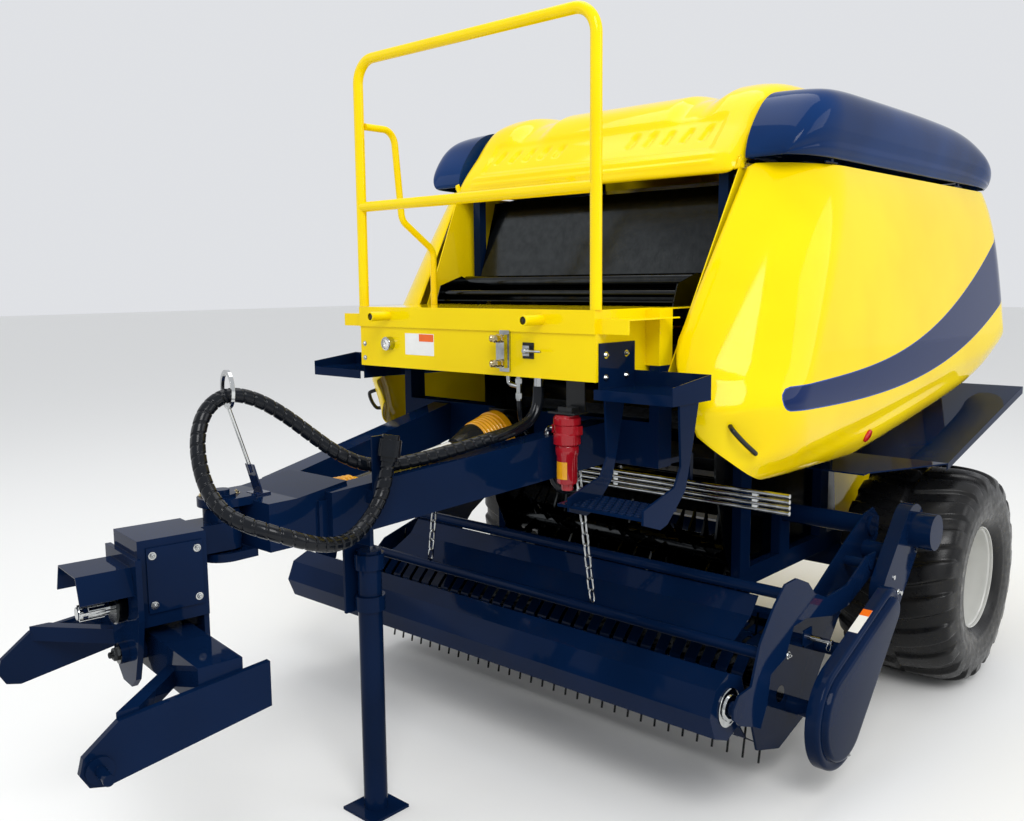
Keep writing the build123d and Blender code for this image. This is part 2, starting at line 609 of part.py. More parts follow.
with BuildPart() as hitch_head:
    add(block(-95, 95, -284, -90, 830, 1075))
    for x0, x1 in both(94, 101):
        add(block(x0, x1, -262, -104, 868, 1052))
    add(block(-55, 55, -100, 0, 992, 1075))
    add(rod_z(992, 1113, 0, 0, 55))
    add(front_plate([(-125, 1030), (125, 1030), (125, 860), (100, 760), (70, 680), (35, 650), (-35, 650),
                     (-70, 680), (-100, 760), (-125, 860)], -300, -284))
    add(block(-90, 90, -105, -90, 660, 840))
    add(rod_y(-320, -90, 0, ROLL_Z, ROLL_PIN_R - RUN))
    add(rod_y(-330, -300, 0, 880, 45))
    add(rod_y(-424, -300, 0, 880, 18))
    add(front_plate([(-105, 930), (-78, 1003), (78, 1003), (105, 930), (101, 928), (75, 999), (-75, 999),
                     (-101, 928)], -442, -300))
    with BuildSketch(Plane.XY.offset(980)):
        Circle(SWIVEL_PIN_R)
    extrude(amount=150, mode=Mode.SUBTRACT)
save(turned(hitch_head.part), "hitch_head")

with BuildPart() as hitch_yoke:
    add(block(-395, 395, -250, -130, 690, 800))
    for x0, x1 in both(390, 410):
        add(side_plate([(-60, 652), (-60, 775), (-455, 728), (-540, 660), (-550, 620), (-530, 585),
                        (-490, 575)], x0, x1))
    for x0, x1 in both(390, 480):
        add(rod_x(x0, x1, -LINK_PIN_AHEAD, LINK_PIN_Z, 14))
    for x0, x1 in both(410, 418):
        add(rod_x(x0, x1, -LINK_PIN_AHEAD, LINK_PIN_Z, 34))
    for side in (-1, 1):
        add(top_plate([(side * 170, -240), (side * 220, -240), (side * 395, -400), (side * 395, -455)],
                      700, 745))
    with BuildSketch(Plane.XZ.offset(50)):
        with Locations((0, ROLL_Z)):
            Circle(ROLL_PIN_R)
    extrude(amount=300, mode=Mode.SUBTRACT)
save(turned(hitch_yoke.part), "hitch_yoke")

# Parking stand
with BuildPart() as stand_leg:
    add(rod_z(8, STAND_TOP_Z, STAND_X, STAND_Y, STAND_R))
    add(block(STAND_X - STAND_FOOT, STAND_X + STAND_FOOT, STAND_Y - STAND_FOOT, STAND_Y + STAND_FOOT, 0, 10))
save(stand_leg.part, "stand_leg")

# Pickup frame
with BuildPart() as pickup_frame:
    outline = [(-330, 280), (-290, 170), (-130, 118), (60, 170), (200, 330), (420, 560), (690, 720),
               (700, 800), (640, 850), (560, 840), (380, 760), (100, 620), (-180, 540), (-310, 430)]
    for x0, x1 in both(PICKUP_PLATE_X, PICKUP_PLATE_X + PLATE):
        add(side_plate(outline, x0, x1))
    for x0, x1 in both(PICKUP_PLATE_X + PLATE, GUARD_ARM_X + PLATE + 4):
        add(rod_x(x0, x1, GUARD_PIVOT_Y, GUARD_PIVOT_Z, GUARD_PIN_R - RUN))
    add(block(-PICKUP_PLATE_X, PICKUP_PLATE_X, 160, 220, 430, 490))
    for x0, x1 in both(PICKUP_PLATE_X - 20, PICKUP_PLATE_X + PLATE + 20):
        add(rod_x(x0, x1, PICKUP_PIVOT_Y, PICKUP_PIVOT_Z, PIVOT_TUBE_R), mode=Mode.SUBTRACT)
        add(rod_x(x0, x1, REEL_Y, REEL_Z, REEL_SHAFT_R), mode=Mode.SUBTRACT)
save(pickup_frame.part, "pickup_frame")

with BuildPart() as strippers:
    band = [(159.4, 462)]
    for angle in range(40, 251, 21):
        band.append((REEL_Y + BAND_R * cos(radians(angle)), REEL_Z + BAND_R * sin(radians(angle))))
    for i in range(TINE_COUNT - 1):
        x = (i - (TINE_COUNT - 2) / 2) * TINE_PITCH
        add(strip(band, 4, x - 22, x + 22))
save(strippers.part, "strippers")

with BuildPart() as reel:
    add(rod_x(-PICKUP_PLATE_X - PLATE, PICKUP_PLATE_X + PLATE, REEL_Y, REEL_Z, REEL_SHAFT_R - RUN))
    for x in (-1000, -3, 994):
        add(rod_x(x, x + 6, REEL_Y, REEL_Z, 160))
    for k in range(4):
        a = radians(-100 + 90 * k)
        add(rod_x(-1000, 1000, REEL_Y + REEL_BAR_CIRCLE_R * cos(a), REEL_Z + REEL_BAR_CIRCLE_R * sin(a), 14))
        row = Plane(origin=(0, REEL_Y, REEL_Z), x_dir=(1, 0, 0), z_dir=(0, cos(a), sin(a)))
        with BuildSketch(row.offset(REEL_BAR_CIRCLE_R)):
            with GridLocations(TINE_PITCH, 1, TINE_COUNT, 1):
                Rectangle(TINE_SIDE, TINE_SIDE)
        extrude(amount=REEL_TIP_R - REEL_BAR_CIRCLE_R)
save(reel.part, "pickup_reel")

# Drive covers on the pickup's left side
COVER_IN = 1202.0
COVER_OUT = 1265.0
with BuildPart() as pickup_cover:
    with BuildSketch(Plane.YZ.offset(COVER_IN)):
        with Locations((-110, 300)):
            Circle(190)
        with Locations((290, 560)):
            Circle(85)
        with BuildLine():
            Polyline((-219, 455), (240, 630), (358, 508), (40, 183), close=True)
        make_face()
    extrude(amount=COVER_OUT - COVER_IN)
    for y, z, r in ((-60, 260, 30), (150, 420, 25)):
        add(rod_x(PICKUP_PLATE_X + PLATE + SEAT, COVER_IN, y, z, r))
save(pickup_cover.part, "pickup_cover")

CASE_IN = 1142.0
CASE_OUT = 1196.0
with BuildPart() as pickup_case:
    with BuildSketch(Plane.YZ.offset(CASE_IN)):
        with Locations((440, 590), (630, 790)):
            Circle(100)
        with BuildLine():
            Polyline((367.5, 658.9), (557.5, 858.9), (702.5, 721.1), (512.5, 521.1), close=True)
        make_face()
    extrude(amount=CASE_OUT - CASE_IN)
    add(rod_x(CASE_OUT, CASE_OUT + 85, 630, 790, 70))
    add(rod_x(PICKUP_PLATE_X + PLATE + SEAT, CASE_IN, 560, 700, 35))
save(pickup_case.part, "pickup_case")

# Wind guard with the crop roller
with BuildPart() as wind_guard:
    arm = [(-500, 360), (-590, 395), (-632, 430), (-632, 460), (-600, 495), (-522, 500), (-470, 625),
           (-379, 726), (-310, 779), (-229, 781), (-143, 746), (-92, 697), (9, 656), (183, 660), (345, 730),
           (430, 730), (450, 653), (372, 639), (190, 580), (49, 578), (-150, 623), (-242, 619),
           (-296, 527), (-395, 500), (-418, 402), (-456, 338)]
    for x0, x1 in both(GUARD_ARM_X, GUARD_ARM_X + PLATE):
        add(side_plate(arm, x0, x1))
        add(rod_x(x0, x1, GUARD_PIVOT_Y, GUARD_PIVOT_Z, GUARD_PIN_R), mode=Mode.SUBTRACT)
        add(rod_x(x0, x1, CROP_ROLLER_Y, CROP_ROLLER_Z, CROP_SHAFT_R), mode=Mode.SUBTRACT)
    add(rod_x(-GUARD_ARM_X, GUARD_ARM_X, -246, 723, 20))
    add(rod_x(-GUARD_ARM_X, GUARD_ARM_X, -430, 575, 20))
    add(strip([(-250, 700), (-300, 640), (-420, 580)], 4, -700, 1000))
save(wind_guard.part, "wind_guard")

with BuildPart() as crop_roller:
    with BuildSketch(Plane.YZ.offset(-CROP_ROLLER_HALF)):
        with Locations((CROP_ROLLER_Y, CROP_ROLLER_Z)):
            RegularPolygon(CROP_ROLLER_R, 8)
    extrude(amount=2 * CROP_ROLLER_HALF)
    add(rod_x(-GUARD_ARM_X - PLATE, GUARD_ARM_X + PLATE, CROP_ROLLER_Y, CROP_ROLLER_Z, CROP_SHAFT_R - RUN))
save(crop_roller.part, "crop_roller")

# Feed rotor behind the pickup, with star tines
with BuildPart() as feed_rotor:
    add(rod_x(-CHAMBER_HALF + 12, CHAMBER_HALF - 12, ROTOR_Y, ROTOR_Z, ROTOR_CORE_R))
    add(rod_x(-CHAMBER_HALF - PLATE, CHAMBER_HALF + PLATE, ROTOR_Y, ROTOR_Z, REEL_SHAFT_R - RUN))
    for k in range(16):
        star = []
        for t in range(6):
            a = radians(60 * t + 11 * k)
            star.append((ROTOR_Y + 60 * cos(a - radians(30)), ROTOR_Z + 60 * sin(a - radians(30))))
            star.append((ROTOR_Y + ROTOR_TIP_R * cos(a), ROTOR_Z + ROTOR_TIP_R * sin(a)))
        x0 = -CHAMBER_HALF + 55 + k * 74
        add(side_plate(star, x0, x0 + 10))
save(feed_rotor.part, "feed_rotor")

# Wheels
CARCASS_R = TYRE_R - LUG_H
LUG_SWEEP = 70.0
LUG_FACE_R = (TYRE_R ** 2 - LUG_SWEEP ** 2) ** 0.5
with BuildPart() as tyre_left:
    with BuildSketch(Plane.XZ):
        with BuildLine():
            Polyline((-209.7, RIM_R + SEAT), (-209.7, RIM_FLANGE_R + SEAT), (-222, RIM_FLANGE_R + 4),
                     (-250, 330), (-240, 400), (-200, CARCASS_R - 10), (0, CARCASS_R),
                     (200, CARCASS_R - 10), (240, 400), (250, 330), (222, RIM_FLANGE_R + 4),
                     (209.7, RIM_FLANGE_R + SEAT), (209.7, RIM_R + SEAT), close=True)
        make_face()
    revolve(axis=Axis.X)
    for k in range(LUG_COUNT):
        for side in (-1, 1):
            turn = 360 / LUG_COUNT * (k + (0.5 if side > 0 else 0))
            with BuildSketch(Plane.XY.rotated((turn, 0, 0)).offset(CARCASS_R - 25)):
                with BuildLine():
                    Polyline((side * 4, -16), (side * 205, -LUG_SWEEP), (side * 205, 30 - LUG_SWEEP),
                             (side * 4, 22), close=True)
                make_face()
            extrude(amount=LUG_FACE_R - CARCASS_R + 25)
tyre = Location((TRACK / 2, AXLE_Y, TYRE_R)) * tyre_left.part
save(tyre, "tyre_left")
save(mirrored(tyre), "tyre_right")

with BuildPart() as rim:
    with BuildSketch(Plane.XZ):
        with BuildLine():
            Polyline((-RIM_W / 2, RIM_R - 8), (-RIM_W / 2, RIM_FLANGE_R), (-RIM_W / 2 + 8, RIM_FLANGE_R),
                     (-RIM_W / 2 + 8, RIM_R), (RIM_W / 2 - 8, RIM_R), (RIM_W / 2 - 8, RIM_FLANGE_R),
                     (RIM_W / 2, RIM_FLANGE_R), (RIM_W / 2, RIM_R - 8), (60, RIM_R - 8), (60, HUB_R),
                     (HUB_HALF - 40, HUB_R), (HUB_HALF - 40, SPINDLE_R + 20), (HUB_HALF, SPINDLE_R + 20),
                     (HUB_HALF, 0), (45, 0), (45, SPINDLE_R), (-HUB_HALF, SPINDLE_R), (-HUB_HALF, HUB_R),
                     (50, HUB_R), (50, RIM_R - 8), close=True)
        make_face()
    revolve(axis=Axis.X)
rim_left = Location((TRACK / 2, AXLE_Y, TYRE_R)) * rim.part
save(rim_left, "rim_left")
save(mirrored(rim_left), "rim_right")

# Oil filter below the panel
with BuildPart() as filter_unit:
    add(rod_z(1050, 1190, 456, -605, 36))
    add(rod_z(1190, 1310, 456, -605, 48))
    add(block(400, 515, -640, -560, 1310, 1318))
    add(block(420, 500, DECK_FRONT_Y + 12 + SEAT, DECK_FRONT_Y + 20, 1310, PANEL_LOW_Z + 60))
save(filter_unit.part, "filter")

# Four oil pipes across the front
with BuildPart() as pipes:
    for i in range(4):
        add(rod_x(60, 1040, -118.3, 1025 - 20 * i, 8))
    for x in (300, 900):
        add(block(x, x + 20, -124, -113, 960, 1030))
save(pipes.part, "pipes")

# Gauge, valve plate and switch on the panel
with BuildPart() as panel_fittings:
    face = DECK_FRONT_Y + 6 - SEAT
    add(rod_y(face - 26, face, -418, 1526, 27))
save(panel_fittings.part, "gauge")
with BuildPart() as valve_block:
    add(block(180, 225, face - 20, face, 1460, 1590))
    for z in (1570, 1490):
        add(rod_y(face - 60, face - 20, 200, z, 10))
save(valve_block.part, "valve_block")
with BuildPart() as switch:
    add(block(285, 330, face - 8, face, 1500, 1550))
    add(rod_y(face - 40, face - 8, 311, 1524, 9))
    add(rod_x(300, 395, face - 36, 1522, 5))
save(switch.part, "switch")


# Chains that hold the wind guard up
def chain(x_top, z_top, x_low, z_low, y, count):
    """Flat-sided links, turned a quarter each, from a top point down to a low point."""
    step_x, step_z = (x_low - x_top) / count, (z_low - z_top) / count
    length = (step_x ** 2 + step_z ** 2) ** 0.5
    with BuildPart() as made:
        for i in range(count):
            x, z = x_top + (i + 0.5) * step_x, z_top + (i + 0.5) * step_z
            across = (0, 1, 0) if i % 2 else (-step_z, 0, step_x)
            with BuildSketch(Plane(origin=(x, y, z), x_dir=(step_x, 0, step_z), z_dir=across)):
                RectangleRounded(length + 14, 24, 11)
                RectangleRounded(length - 2, 10, 4, mode=Mode.SUBTRACT)
            extrude(amount=3.5, both=True)
    return made.part


CHAIN_TOP = (362.0, 1097.0)
CHAIN_LOW = (432.0, 602.4)
chain_left = chain(CHAIN_TOP[0], CHAIN_TOP[1], CHAIN_LOW[0], CHAIN_LOW[1], -430, 12)
save(chain_left, "chain_left")
save(mirrored(chain_left), "chain_right")

# Hose holder: folded bracket, rod and ring on the drawbar's front box
HOLDER_TOP = (0.0, -1625.0, 1405.0)
RING_R = 52.0
HOLDER_ROD_R = 6.0
with BuildPart() as hose_holder:
    add(block(-28, 28, -1560, -1510, 1130 + SEAT, 1136))
    add(strip([(-1535, 1134), (-1562, 1225)], 5, -22, 22))
    add(bent_tube([(0, -1556, 1200), HOLDER_TOP], 1, HOLDER_ROD_R))
    with BuildSketch(Plane(origin=HOLDER_TOP, z_dir=(0, -0.27, 1)).offset(-4)):
        Circle(HOLDER_ROD_R + 1)
    extrude(amount=8)
    with BuildSketch(Plane(origin=(0, HOLDER_TOP[1], HOLDER_TOP[2] + RING_R), z_dir=(0.26, 0.966, 0))):
        Circle(RING_R + HOLDER_ROD_R)
        Circle(RING_R - HOLDER_ROD_R, mode=Mode.SUBTRACT)
    extrude(amount=HOLDER_ROD_R - 1, both=True)
save(hose_holder.part, "hose_holder")

# Hose bundle: from its coupling under the panel along the left beam, through the ring and back to its clip
HOSE_R = 22.0
HOSE_ROUTE = [
    (325, -600, 1400), (325, -602, 1355), (324.5, -618, 1313), (323, -650, 1281), (320, -700, 1262),
    (313, -765, 1250), (298, -848, 1238), (276, -936, 1222), (250, -1020, 1208), (222, -1105, 1195),
    (192, -1185, 1188), (163, -1262, 1200), (130, -1335, 1242), (92, -1402, 1305), (53, -1470, 1372),
    (20, -1545, 1425), (2, -1628, 1446), (2, -1700, 1410), (20, -1742, 1338), (62, -1765, 1262),
    (122, -1777, 1192), (197, -1775, 1140), (275, -1750, 1115), (336, -1700, 1092), (362, -1625, 1058),
    (352, -1540, 1030), (328, -1455, 1022), (306, -1380, 1045), (293, -1318, 1090), (287.3, -1276, 1150),
    (287.3, -1262, 1225)]


def cord_radii(route):
    """One radius for each corner of a cord's route, as large as its two runs allow."""
    radii = []
    for back, corner, ahead in zip(route, route[1:], route[2:]):
        before, after = Vector(corner) - Vector(back), Vector(ahead) - Vector(corner)
        half = radians(before.get_angle(after) / 2)
        radii.append(0.45 * min(before.length, after.length) / tan(half))
    return radii


hose_radii = cord_radii(HOSE_ROUTE)
print("hose radii", [round(r) for r in hose_radii])
with BuildPart() as hose:
    with BuildLine() as hose_path:
        FilletPolyline(*HOSE_ROUTE, radius=hose_radii)
    with BuildSketch(Plane(hose_path.line @ 0, z_dir=hose_path.line % 0)):
        Circle(HOSE_R)
    sweep()
hose_wire = hose_path.wire()
print("hose length", round(hose_wire.length), "volume", round(hose.part.volume))
save(hose.part, "hose")

# Steel coupling behind the panel that the hose comes out of, and the tied knot of fittings at its end
with BuildPart() as hose_port:
    back = DECK_FRONT_Y + 12 + SEAT
    add(block(290, 360, back, back + 22, 1440, 1490))
    with BuildSketch(Plane(hose_wire @ 0, z_dir=-(hose_wire % 0))):
        Circle(HOSE_R - 4)
    extrude(amount=50)
save(hose_port.part, "hose_port")

KNOT_R = 35.0
KNOT_LENGTH = 80.0
with BuildPart() as hose_knot:
    with BuildSketch(Plane(hose_wire @ 1, z_dir=hose_wire % 1)):
        Circle(KNOT_R - 8)
    extrude(amount=KNOT_LENGTH)
    with BuildSketch(Plane(hose_wire @ 1, z_dir=hose_wire % 1).offset(14)):
        Circle(KNOT_R)
    extrude(amount=KNOT_LENGTH - 28)
save(hose_knot.part, "hose_knot")
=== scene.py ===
"""Looks of a towed round baler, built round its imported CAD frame. Metres, +Z up, the front looks along -Y."""
import json
import bmesh
import bpy
import numpy as np
from mathutils import Matrix, Vector


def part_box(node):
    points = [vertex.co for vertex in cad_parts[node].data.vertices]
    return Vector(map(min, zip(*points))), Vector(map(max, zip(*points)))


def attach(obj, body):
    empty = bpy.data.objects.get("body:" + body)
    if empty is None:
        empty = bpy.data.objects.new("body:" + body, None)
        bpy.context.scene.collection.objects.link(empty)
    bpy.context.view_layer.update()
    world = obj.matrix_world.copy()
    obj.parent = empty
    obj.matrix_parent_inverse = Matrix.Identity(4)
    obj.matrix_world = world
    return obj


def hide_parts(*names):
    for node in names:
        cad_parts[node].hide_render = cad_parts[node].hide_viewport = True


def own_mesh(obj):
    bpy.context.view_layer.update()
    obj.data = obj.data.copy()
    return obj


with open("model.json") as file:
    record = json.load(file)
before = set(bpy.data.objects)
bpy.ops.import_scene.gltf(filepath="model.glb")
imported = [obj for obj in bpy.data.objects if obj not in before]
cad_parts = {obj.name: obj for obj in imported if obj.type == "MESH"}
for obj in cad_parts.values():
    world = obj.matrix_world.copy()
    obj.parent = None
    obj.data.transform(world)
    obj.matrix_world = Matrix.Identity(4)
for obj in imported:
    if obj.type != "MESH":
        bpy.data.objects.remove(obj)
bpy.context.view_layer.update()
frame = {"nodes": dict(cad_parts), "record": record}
NODES = frame["nodes"]
MM = 0.001
TAU = 2 * np.pi
SIDES = ((1, "left"), (-1, "right"))


# Camera first: the photograph's place, turn and lens

def view_camera():
    """Camera turned from straight ahead: level turn, tilt down and a slight lean."""
    lens = bpy.data.cameras.new("view")
    lens.sensor_width = 36.0
    lens.lens = 34.367
    camera = bpy.data.objects.new("view", lens)
    bpy.context.collection.objects.link(camera)
    turn, tilt, lean = np.radians((42.258, 90 - 7.487, -0.547))
    camera.matrix_world = (Matrix.Translation((2.54, -3.178, 1.762))
                           @ Matrix.Rotation(turn, 4, "Z")
                           @ Matrix.Rotation(tilt, 4, "X")
                           @ Matrix.Rotation(lean, 4, "Z"))
    bpy.context.scene.camera = camera


view_camera()


# Colours and materials

MIX_A, MIX_B, MIX_OUT = 6, 7, 2      # the colour sockets of a Mix node


def srgb(code):
    """An sRGB hex colour as linear red, green, blue and alpha."""
    parts = np.array([int(code[i:i + 2], 16) for i in (0, 2, 4)]) / 255
    linear = np.where(parts <= 0.04045, parts / 12.92, ((parts + 0.055) / 1.055) ** 2.4)
    return (*linear.tolist(), 1.0)


def add_node(tree, kind, settings=None, links=None, stops=()):
    """One node with its attributes or socket values, its incoming links and a ramp's (position, hex) stops.
    A socket is given by its name, or by its number where several share one."""
    node = tree.nodes.new(kind)
    for name, value in (settings or {}).items():
        if isinstance(name, str) and hasattr(node, name):
            setattr(node, name, value)
        else:
            node.inputs[name].default_value = value
    for name, source in (links or {}).items():
        tree.links.new(source, node.inputs[name])
    for k, (position, code) in enumerate(stops):
        node.color_ramp.elements[k].position = position
        node.color_ramp.elements[k].color = srgb(code)
    return node


def new_material(name, **shader):
    """A material with its node tree, its shader, and Object coordinates."""
    material = bpy.data.materials.new(name)
    material.use_nodes = True
    tree = material.node_tree
    bsdf = tree.nodes["Principled BSDF"]
    for socket, value in shader.items():
        bsdf.inputs[socket.replace("_", " ")].default_value = value
    place = add_node(tree, "ShaderNodeTexCoord").outputs["Object"]
    return material, tree, bsdf, place


def blotches(tree, place, size_mm, detail, rough, stops):
    """A pattern of soft blotches about size_mm across, read as colours or greys through a ramp."""
    cloud = add_node(tree, "ShaderNodeTexNoise",
                     {"Scale": 1 / (size_mm * MM), "Detail": detail, "Roughness": rough}, {"Vector": place})
    tone = add_node(tree, "ShaderNodeValToRGB", links={"Fac": cloud.outputs["Fac"]}, stops=stops)
    return tone.outputs["Color"]


def sheen_stops(rough, low, high):
    """Two greys between which a finish's roughness wanders."""
    return [(0.3, f"{int(rough * low):02X}" * 3), (0.8, f"{int(rough * high):02X}" * 3)]


def finish_surface(tree, bsdf, place, grain_mm, detail, depth_mm, edge_mm):
    """Relief of a grain over edges rounded to edge_mm, as sanded, sprayed or moulded parts have."""
    edge = add_node(tree, "ShaderNodeBevel", {"samples": 4, "Radius": edge_mm * MM})
    grain = add_node(tree, "ShaderNodeTexNoise", {"Scale": 1 / (grain_mm * MM), "Detail": detail},
                     {"Vector": place})
    bump = add_node(tree, "ShaderNodeBump", {"Strength": 0.5, "Distance": depth_mm * MM},
                    {"Height": grain.outputs["Fac"], "Normal": edge.outputs["Normal"]})
    tree.links.new(bump.outputs["Normal"], bsdf.inputs["Normal"])


def enamel(name, base, shade, dust, rough, coat, shine=0.5):
    """Sprayed gloss enamel: its shade wanders over 420 mm, dust gathers in 60 mm patches, and orange peel,
    drawn 9 mm across so that it shows, lies under a clear wet coat."""
    material, tree, bsdf, place = new_material(name, Coat_Weight=coat, Coat_Roughness=0.06,
                                               Specular_IOR_Level=shine)
    cloud = blotches(tree, place, 420, 2.0, 0.5, [(0.35, "000000"), (0.7, "FFFFFF")])
    grime = blotches(tree, place, 60, 6.0, 0.65, [(0.55, "000000"), (0.85, "5A5A5A")])
    paint = add_node(tree, "ShaderNodeMix", {"data_type": "RGBA", MIX_A: srgb(base), MIX_B: srgb(shade)},
                     {0: cloud})
    dusty = add_node(tree, "ShaderNodeMix", {"data_type": "RGBA", MIX_B: srgb(dust)},
                     {0: grime, MIX_A: paint.outputs[MIX_OUT]})
    tree.links.new(dusty.outputs[MIX_OUT], bsdf.inputs["Base Color"])
    sheen = blotches(tree, place, 25, 4.0, 0.5, sheen_stops(rough, 200, 330))
    tree.links.new(sheen, bsdf.inputs["Roughness"])
    finish_surface(tree, bsdf, place, 9, 2.0, 0.12, 1.5)
    return material


def bare_metal(name, base, shade, rough, grain_mm=6.0):
    """Plain or plated steel: a metal sheen with faint rolling grain and darker handling marks."""
    material, tree, bsdf, place = new_material(name, Metallic=1.0)
    marks = blotches(tree, place, 35, 6.0, 0.6, [(0.35, base), (0.75, shade)])
    tree.links.new(marks, bsdf.inputs["Base Color"])
    sheen = blotches(tree, place, grain_mm, 4.0, 0.5, sheen_stops(rough, 190, 330))
    tree.links.new(sheen, bsdf.inputs["Roughness"])
    finish_surface(tree, bsdf, place, grain_mm, 3.0, 0.1, 0.8)
    return material


def moulded(name, base, shade, rough, pebble_mm=2.5, depth_mm=0.2, edge_mm=1.0, shine=0.5):
    """Moulded plastic or rubber: even colour, soft sheen and a fine pebble from the mould."""
    material, tree, bsdf, place = new_material(name, Specular_IOR_Level=shine)
    colour = blotches(tree, place, 70, 5.0, 0.6, [(0.35, base), (0.8, shade)])
    tree.links.new(colour, bsdf.inputs["Base Color"])
    sheen = blotches(tree, place, 30, 4.0, 0.5, sheen_stops(rough, 200, 300))
    tree.links.new(sheen, bsdf.inputs["Roughness"])
    finish_surface(tree, bsdf, place, pebble_mm, 2.0, depth_mm, edge_mm)
    return material


def plated_wire(name, height, paint, plating):
    """Zinc-plated wire that stands in a foot painted up to one height: a bright rod over a gloss bracket."""
    material, tree, bsdf, place = new_material(name, Specular_IOR_Level=0.3)
    level = add_node(tree, "ShaderNodeSeparateXYZ", links={"Vector": place}).outputs["Z"]
    over = add_node(tree, "ShaderNodeMath", {"operation": "GREATER_THAN", 1: height},
                    {0: level}).outputs["Value"]
    colour = add_node(tree, "ShaderNodeMix", {"data_type": "RGBA", MIX_A: srgb(paint), MIX_B: srgb(plating)},
                      {0: over})
    tree.links.new(colour.outputs[MIX_OUT], bsdf.inputs["Base Color"])
    tree.links.new(over, bsdf.inputs["Metallic"])
    sheen = blotches(tree, place, 4, 4.0, 0.5, [(0.3, "353535"), (0.8, "5C5C5C")])
    tree.links.new(sheen, bsdf.inputs["Roughness"])
    finish_surface(tree, bsdf, place, 4, 4.0, 0.1, 0.8)
    return material


# Enamel on body panels and platform: a bright yellow with a soft wet shine
YELLOW = enamel("yellow_enamel", "F3D606", "EECC03", "E2C01A", 0.26, 0.15, 0.1)
# Enamel on frame, hitch and pickup: so dark a blue that mostly its highlights show
NAVY = enamel("navy_enamel", "071B3A", "05152E", "0E1F3C", 0.2, 0.06, 0.03)
# Gelcoat on the top fairings: smoother and bluer than the frame's paint, with long clear reflections
FAIRING_NAVY = enamel("navy_gelcoat", "082E60", "06234C", "14345C", 0.14, 0.18, 0.04)
# Enamel on the cast filter: deep red with small sharp glints
RED = enamel("red_enamel", "A01420", "86101A", "6E2A2A", 0.25, 0.4, 0.2)
# Thin silver paint on pressed rims: pale grey, a little dull and dusty
SILVER = enamel("silver_rim_enamel", "C9C9C4", "B3B3AE", "8E8A80", 0.3, 0.2)
# Rolled steel worn by crop: dark, with a broad smeared sheen
DARK_STEEL = bare_metal("worn_roller_steel", "303233", "262829", 0.42)
# Oil-hardened spring wire: nearly black, with thin glints
TINE_STEEL = bare_metal("spring_steel", "2A2A2C", "1B1B1D", 0.4)
# Bright zinc plating: light silver that picks up its surroundings
ZINC = bare_metal("zinc_plated_steel", "C4C6C6", "8E9192", 0.28, 4.0)
# Yellow-passivated zinc: the same plating with a straw tint
BRONZE_ZINC = bare_metal("yellow_zinc_bolt", "BDAE86", "8F8060", 0.3, 4.0)
# Vulcanised tyre rubber: black without a gloss, slightly browned by dust
RUBBER = moulded("tyre_rubber", "0F1012", "191817", 0.62, 3.0, 0.3, shine=0.25)
# Extruded polyethylene wrap: black with a faint oily sheen on each turn
HOSE_PLASTIC = moulded("spiral_wrap_plastic", "0A0D12", "10141A", 0.46, 5.0, 0.05, shine=0.22)
# Moulded nylon: soft black
BLACK_PLASTIC = moulded("black_moulded_plastic", "16181A", "222426", 0.45, shine=0.3)
# Moulded shaft guard: warm yellow, softer than the enamel
GUARD_YELLOW = moulded("yellow_guard_plastic", "E2A010", "CC8B08", 0.42)
# Vinyl film: flat clean white
LABEL = moulded("white_vinyl_label", "F1F1EE", "E6E6E2", 0.35, 1.5, 0.05, 0.3)
# Ink on vinyl: flat orange
ORANGE = moulded("orange_print", "F06A1C", "E66218", 0.35, 1.5, 0.05, 0.3)
# Moulded acrylic reflector: clear red with a hard gloss
LAMP_RED = moulded("red_reflector_acrylic", "C81A12", "A8120C", 0.12, 3.0, 0.3, 0.5)
# Plated hose holder in its painted bracket: bright above 1.226 m, navy below
HOLDER_FINISH = plated_wire("hose_holder_plating", 1.226, "071B3E", "C4C6C6")

SLOT_LOOKS = {"yellow_paint": YELLOW, "navy_paint": NAVY, "dark_steel": DARK_STEEL, "bright_steel": ZINC,
              "red_paint": RED, "rim_paint": SILVER, "tyre_rubber": RUBBER, "driveline_plastic": GUARD_YELLOW,
              "black_hose": HOSE_PLASTIC}
NODE_SLOTS = {part["node"]: part["material_slot"] for part in frame["record"]["subparts"]}
OTHER_LOOKS = {"fairing_left": FAIRING_NAVY, "fairing_right": FAIRING_NAVY, "pickup_reel": TINE_STEEL,
               "hose_holder": HOLDER_FINISH}


def dress_cad_nodes():
    """Every CAD node takes the finish that its record slot names, but for a few with one of their own."""
    for name, node in NODES.items():
        look = OTHER_LOOKS.get(name, SLOT_LOOKS[NODE_SLOTS[name]])
        if not node.material_slots:
            node.data.materials.append(look)
        for place in node.material_slots:
            place.material = look


dress_cad_nodes()


# Mesh building

def sheet_faces(rows, cols, close_rows=False, close_cols=False):
    """Quads of a grid of points, wrapped round where it closes."""
    i, j = np.indices((rows - (not close_rows), cols - (not close_cols))).reshape(2, -1)
    down, across = (i + 1) % rows, (j + 1) % cols
    return np.stack([i * cols + j, down * cols + j, down * cols + across, i * cols + across], 1)


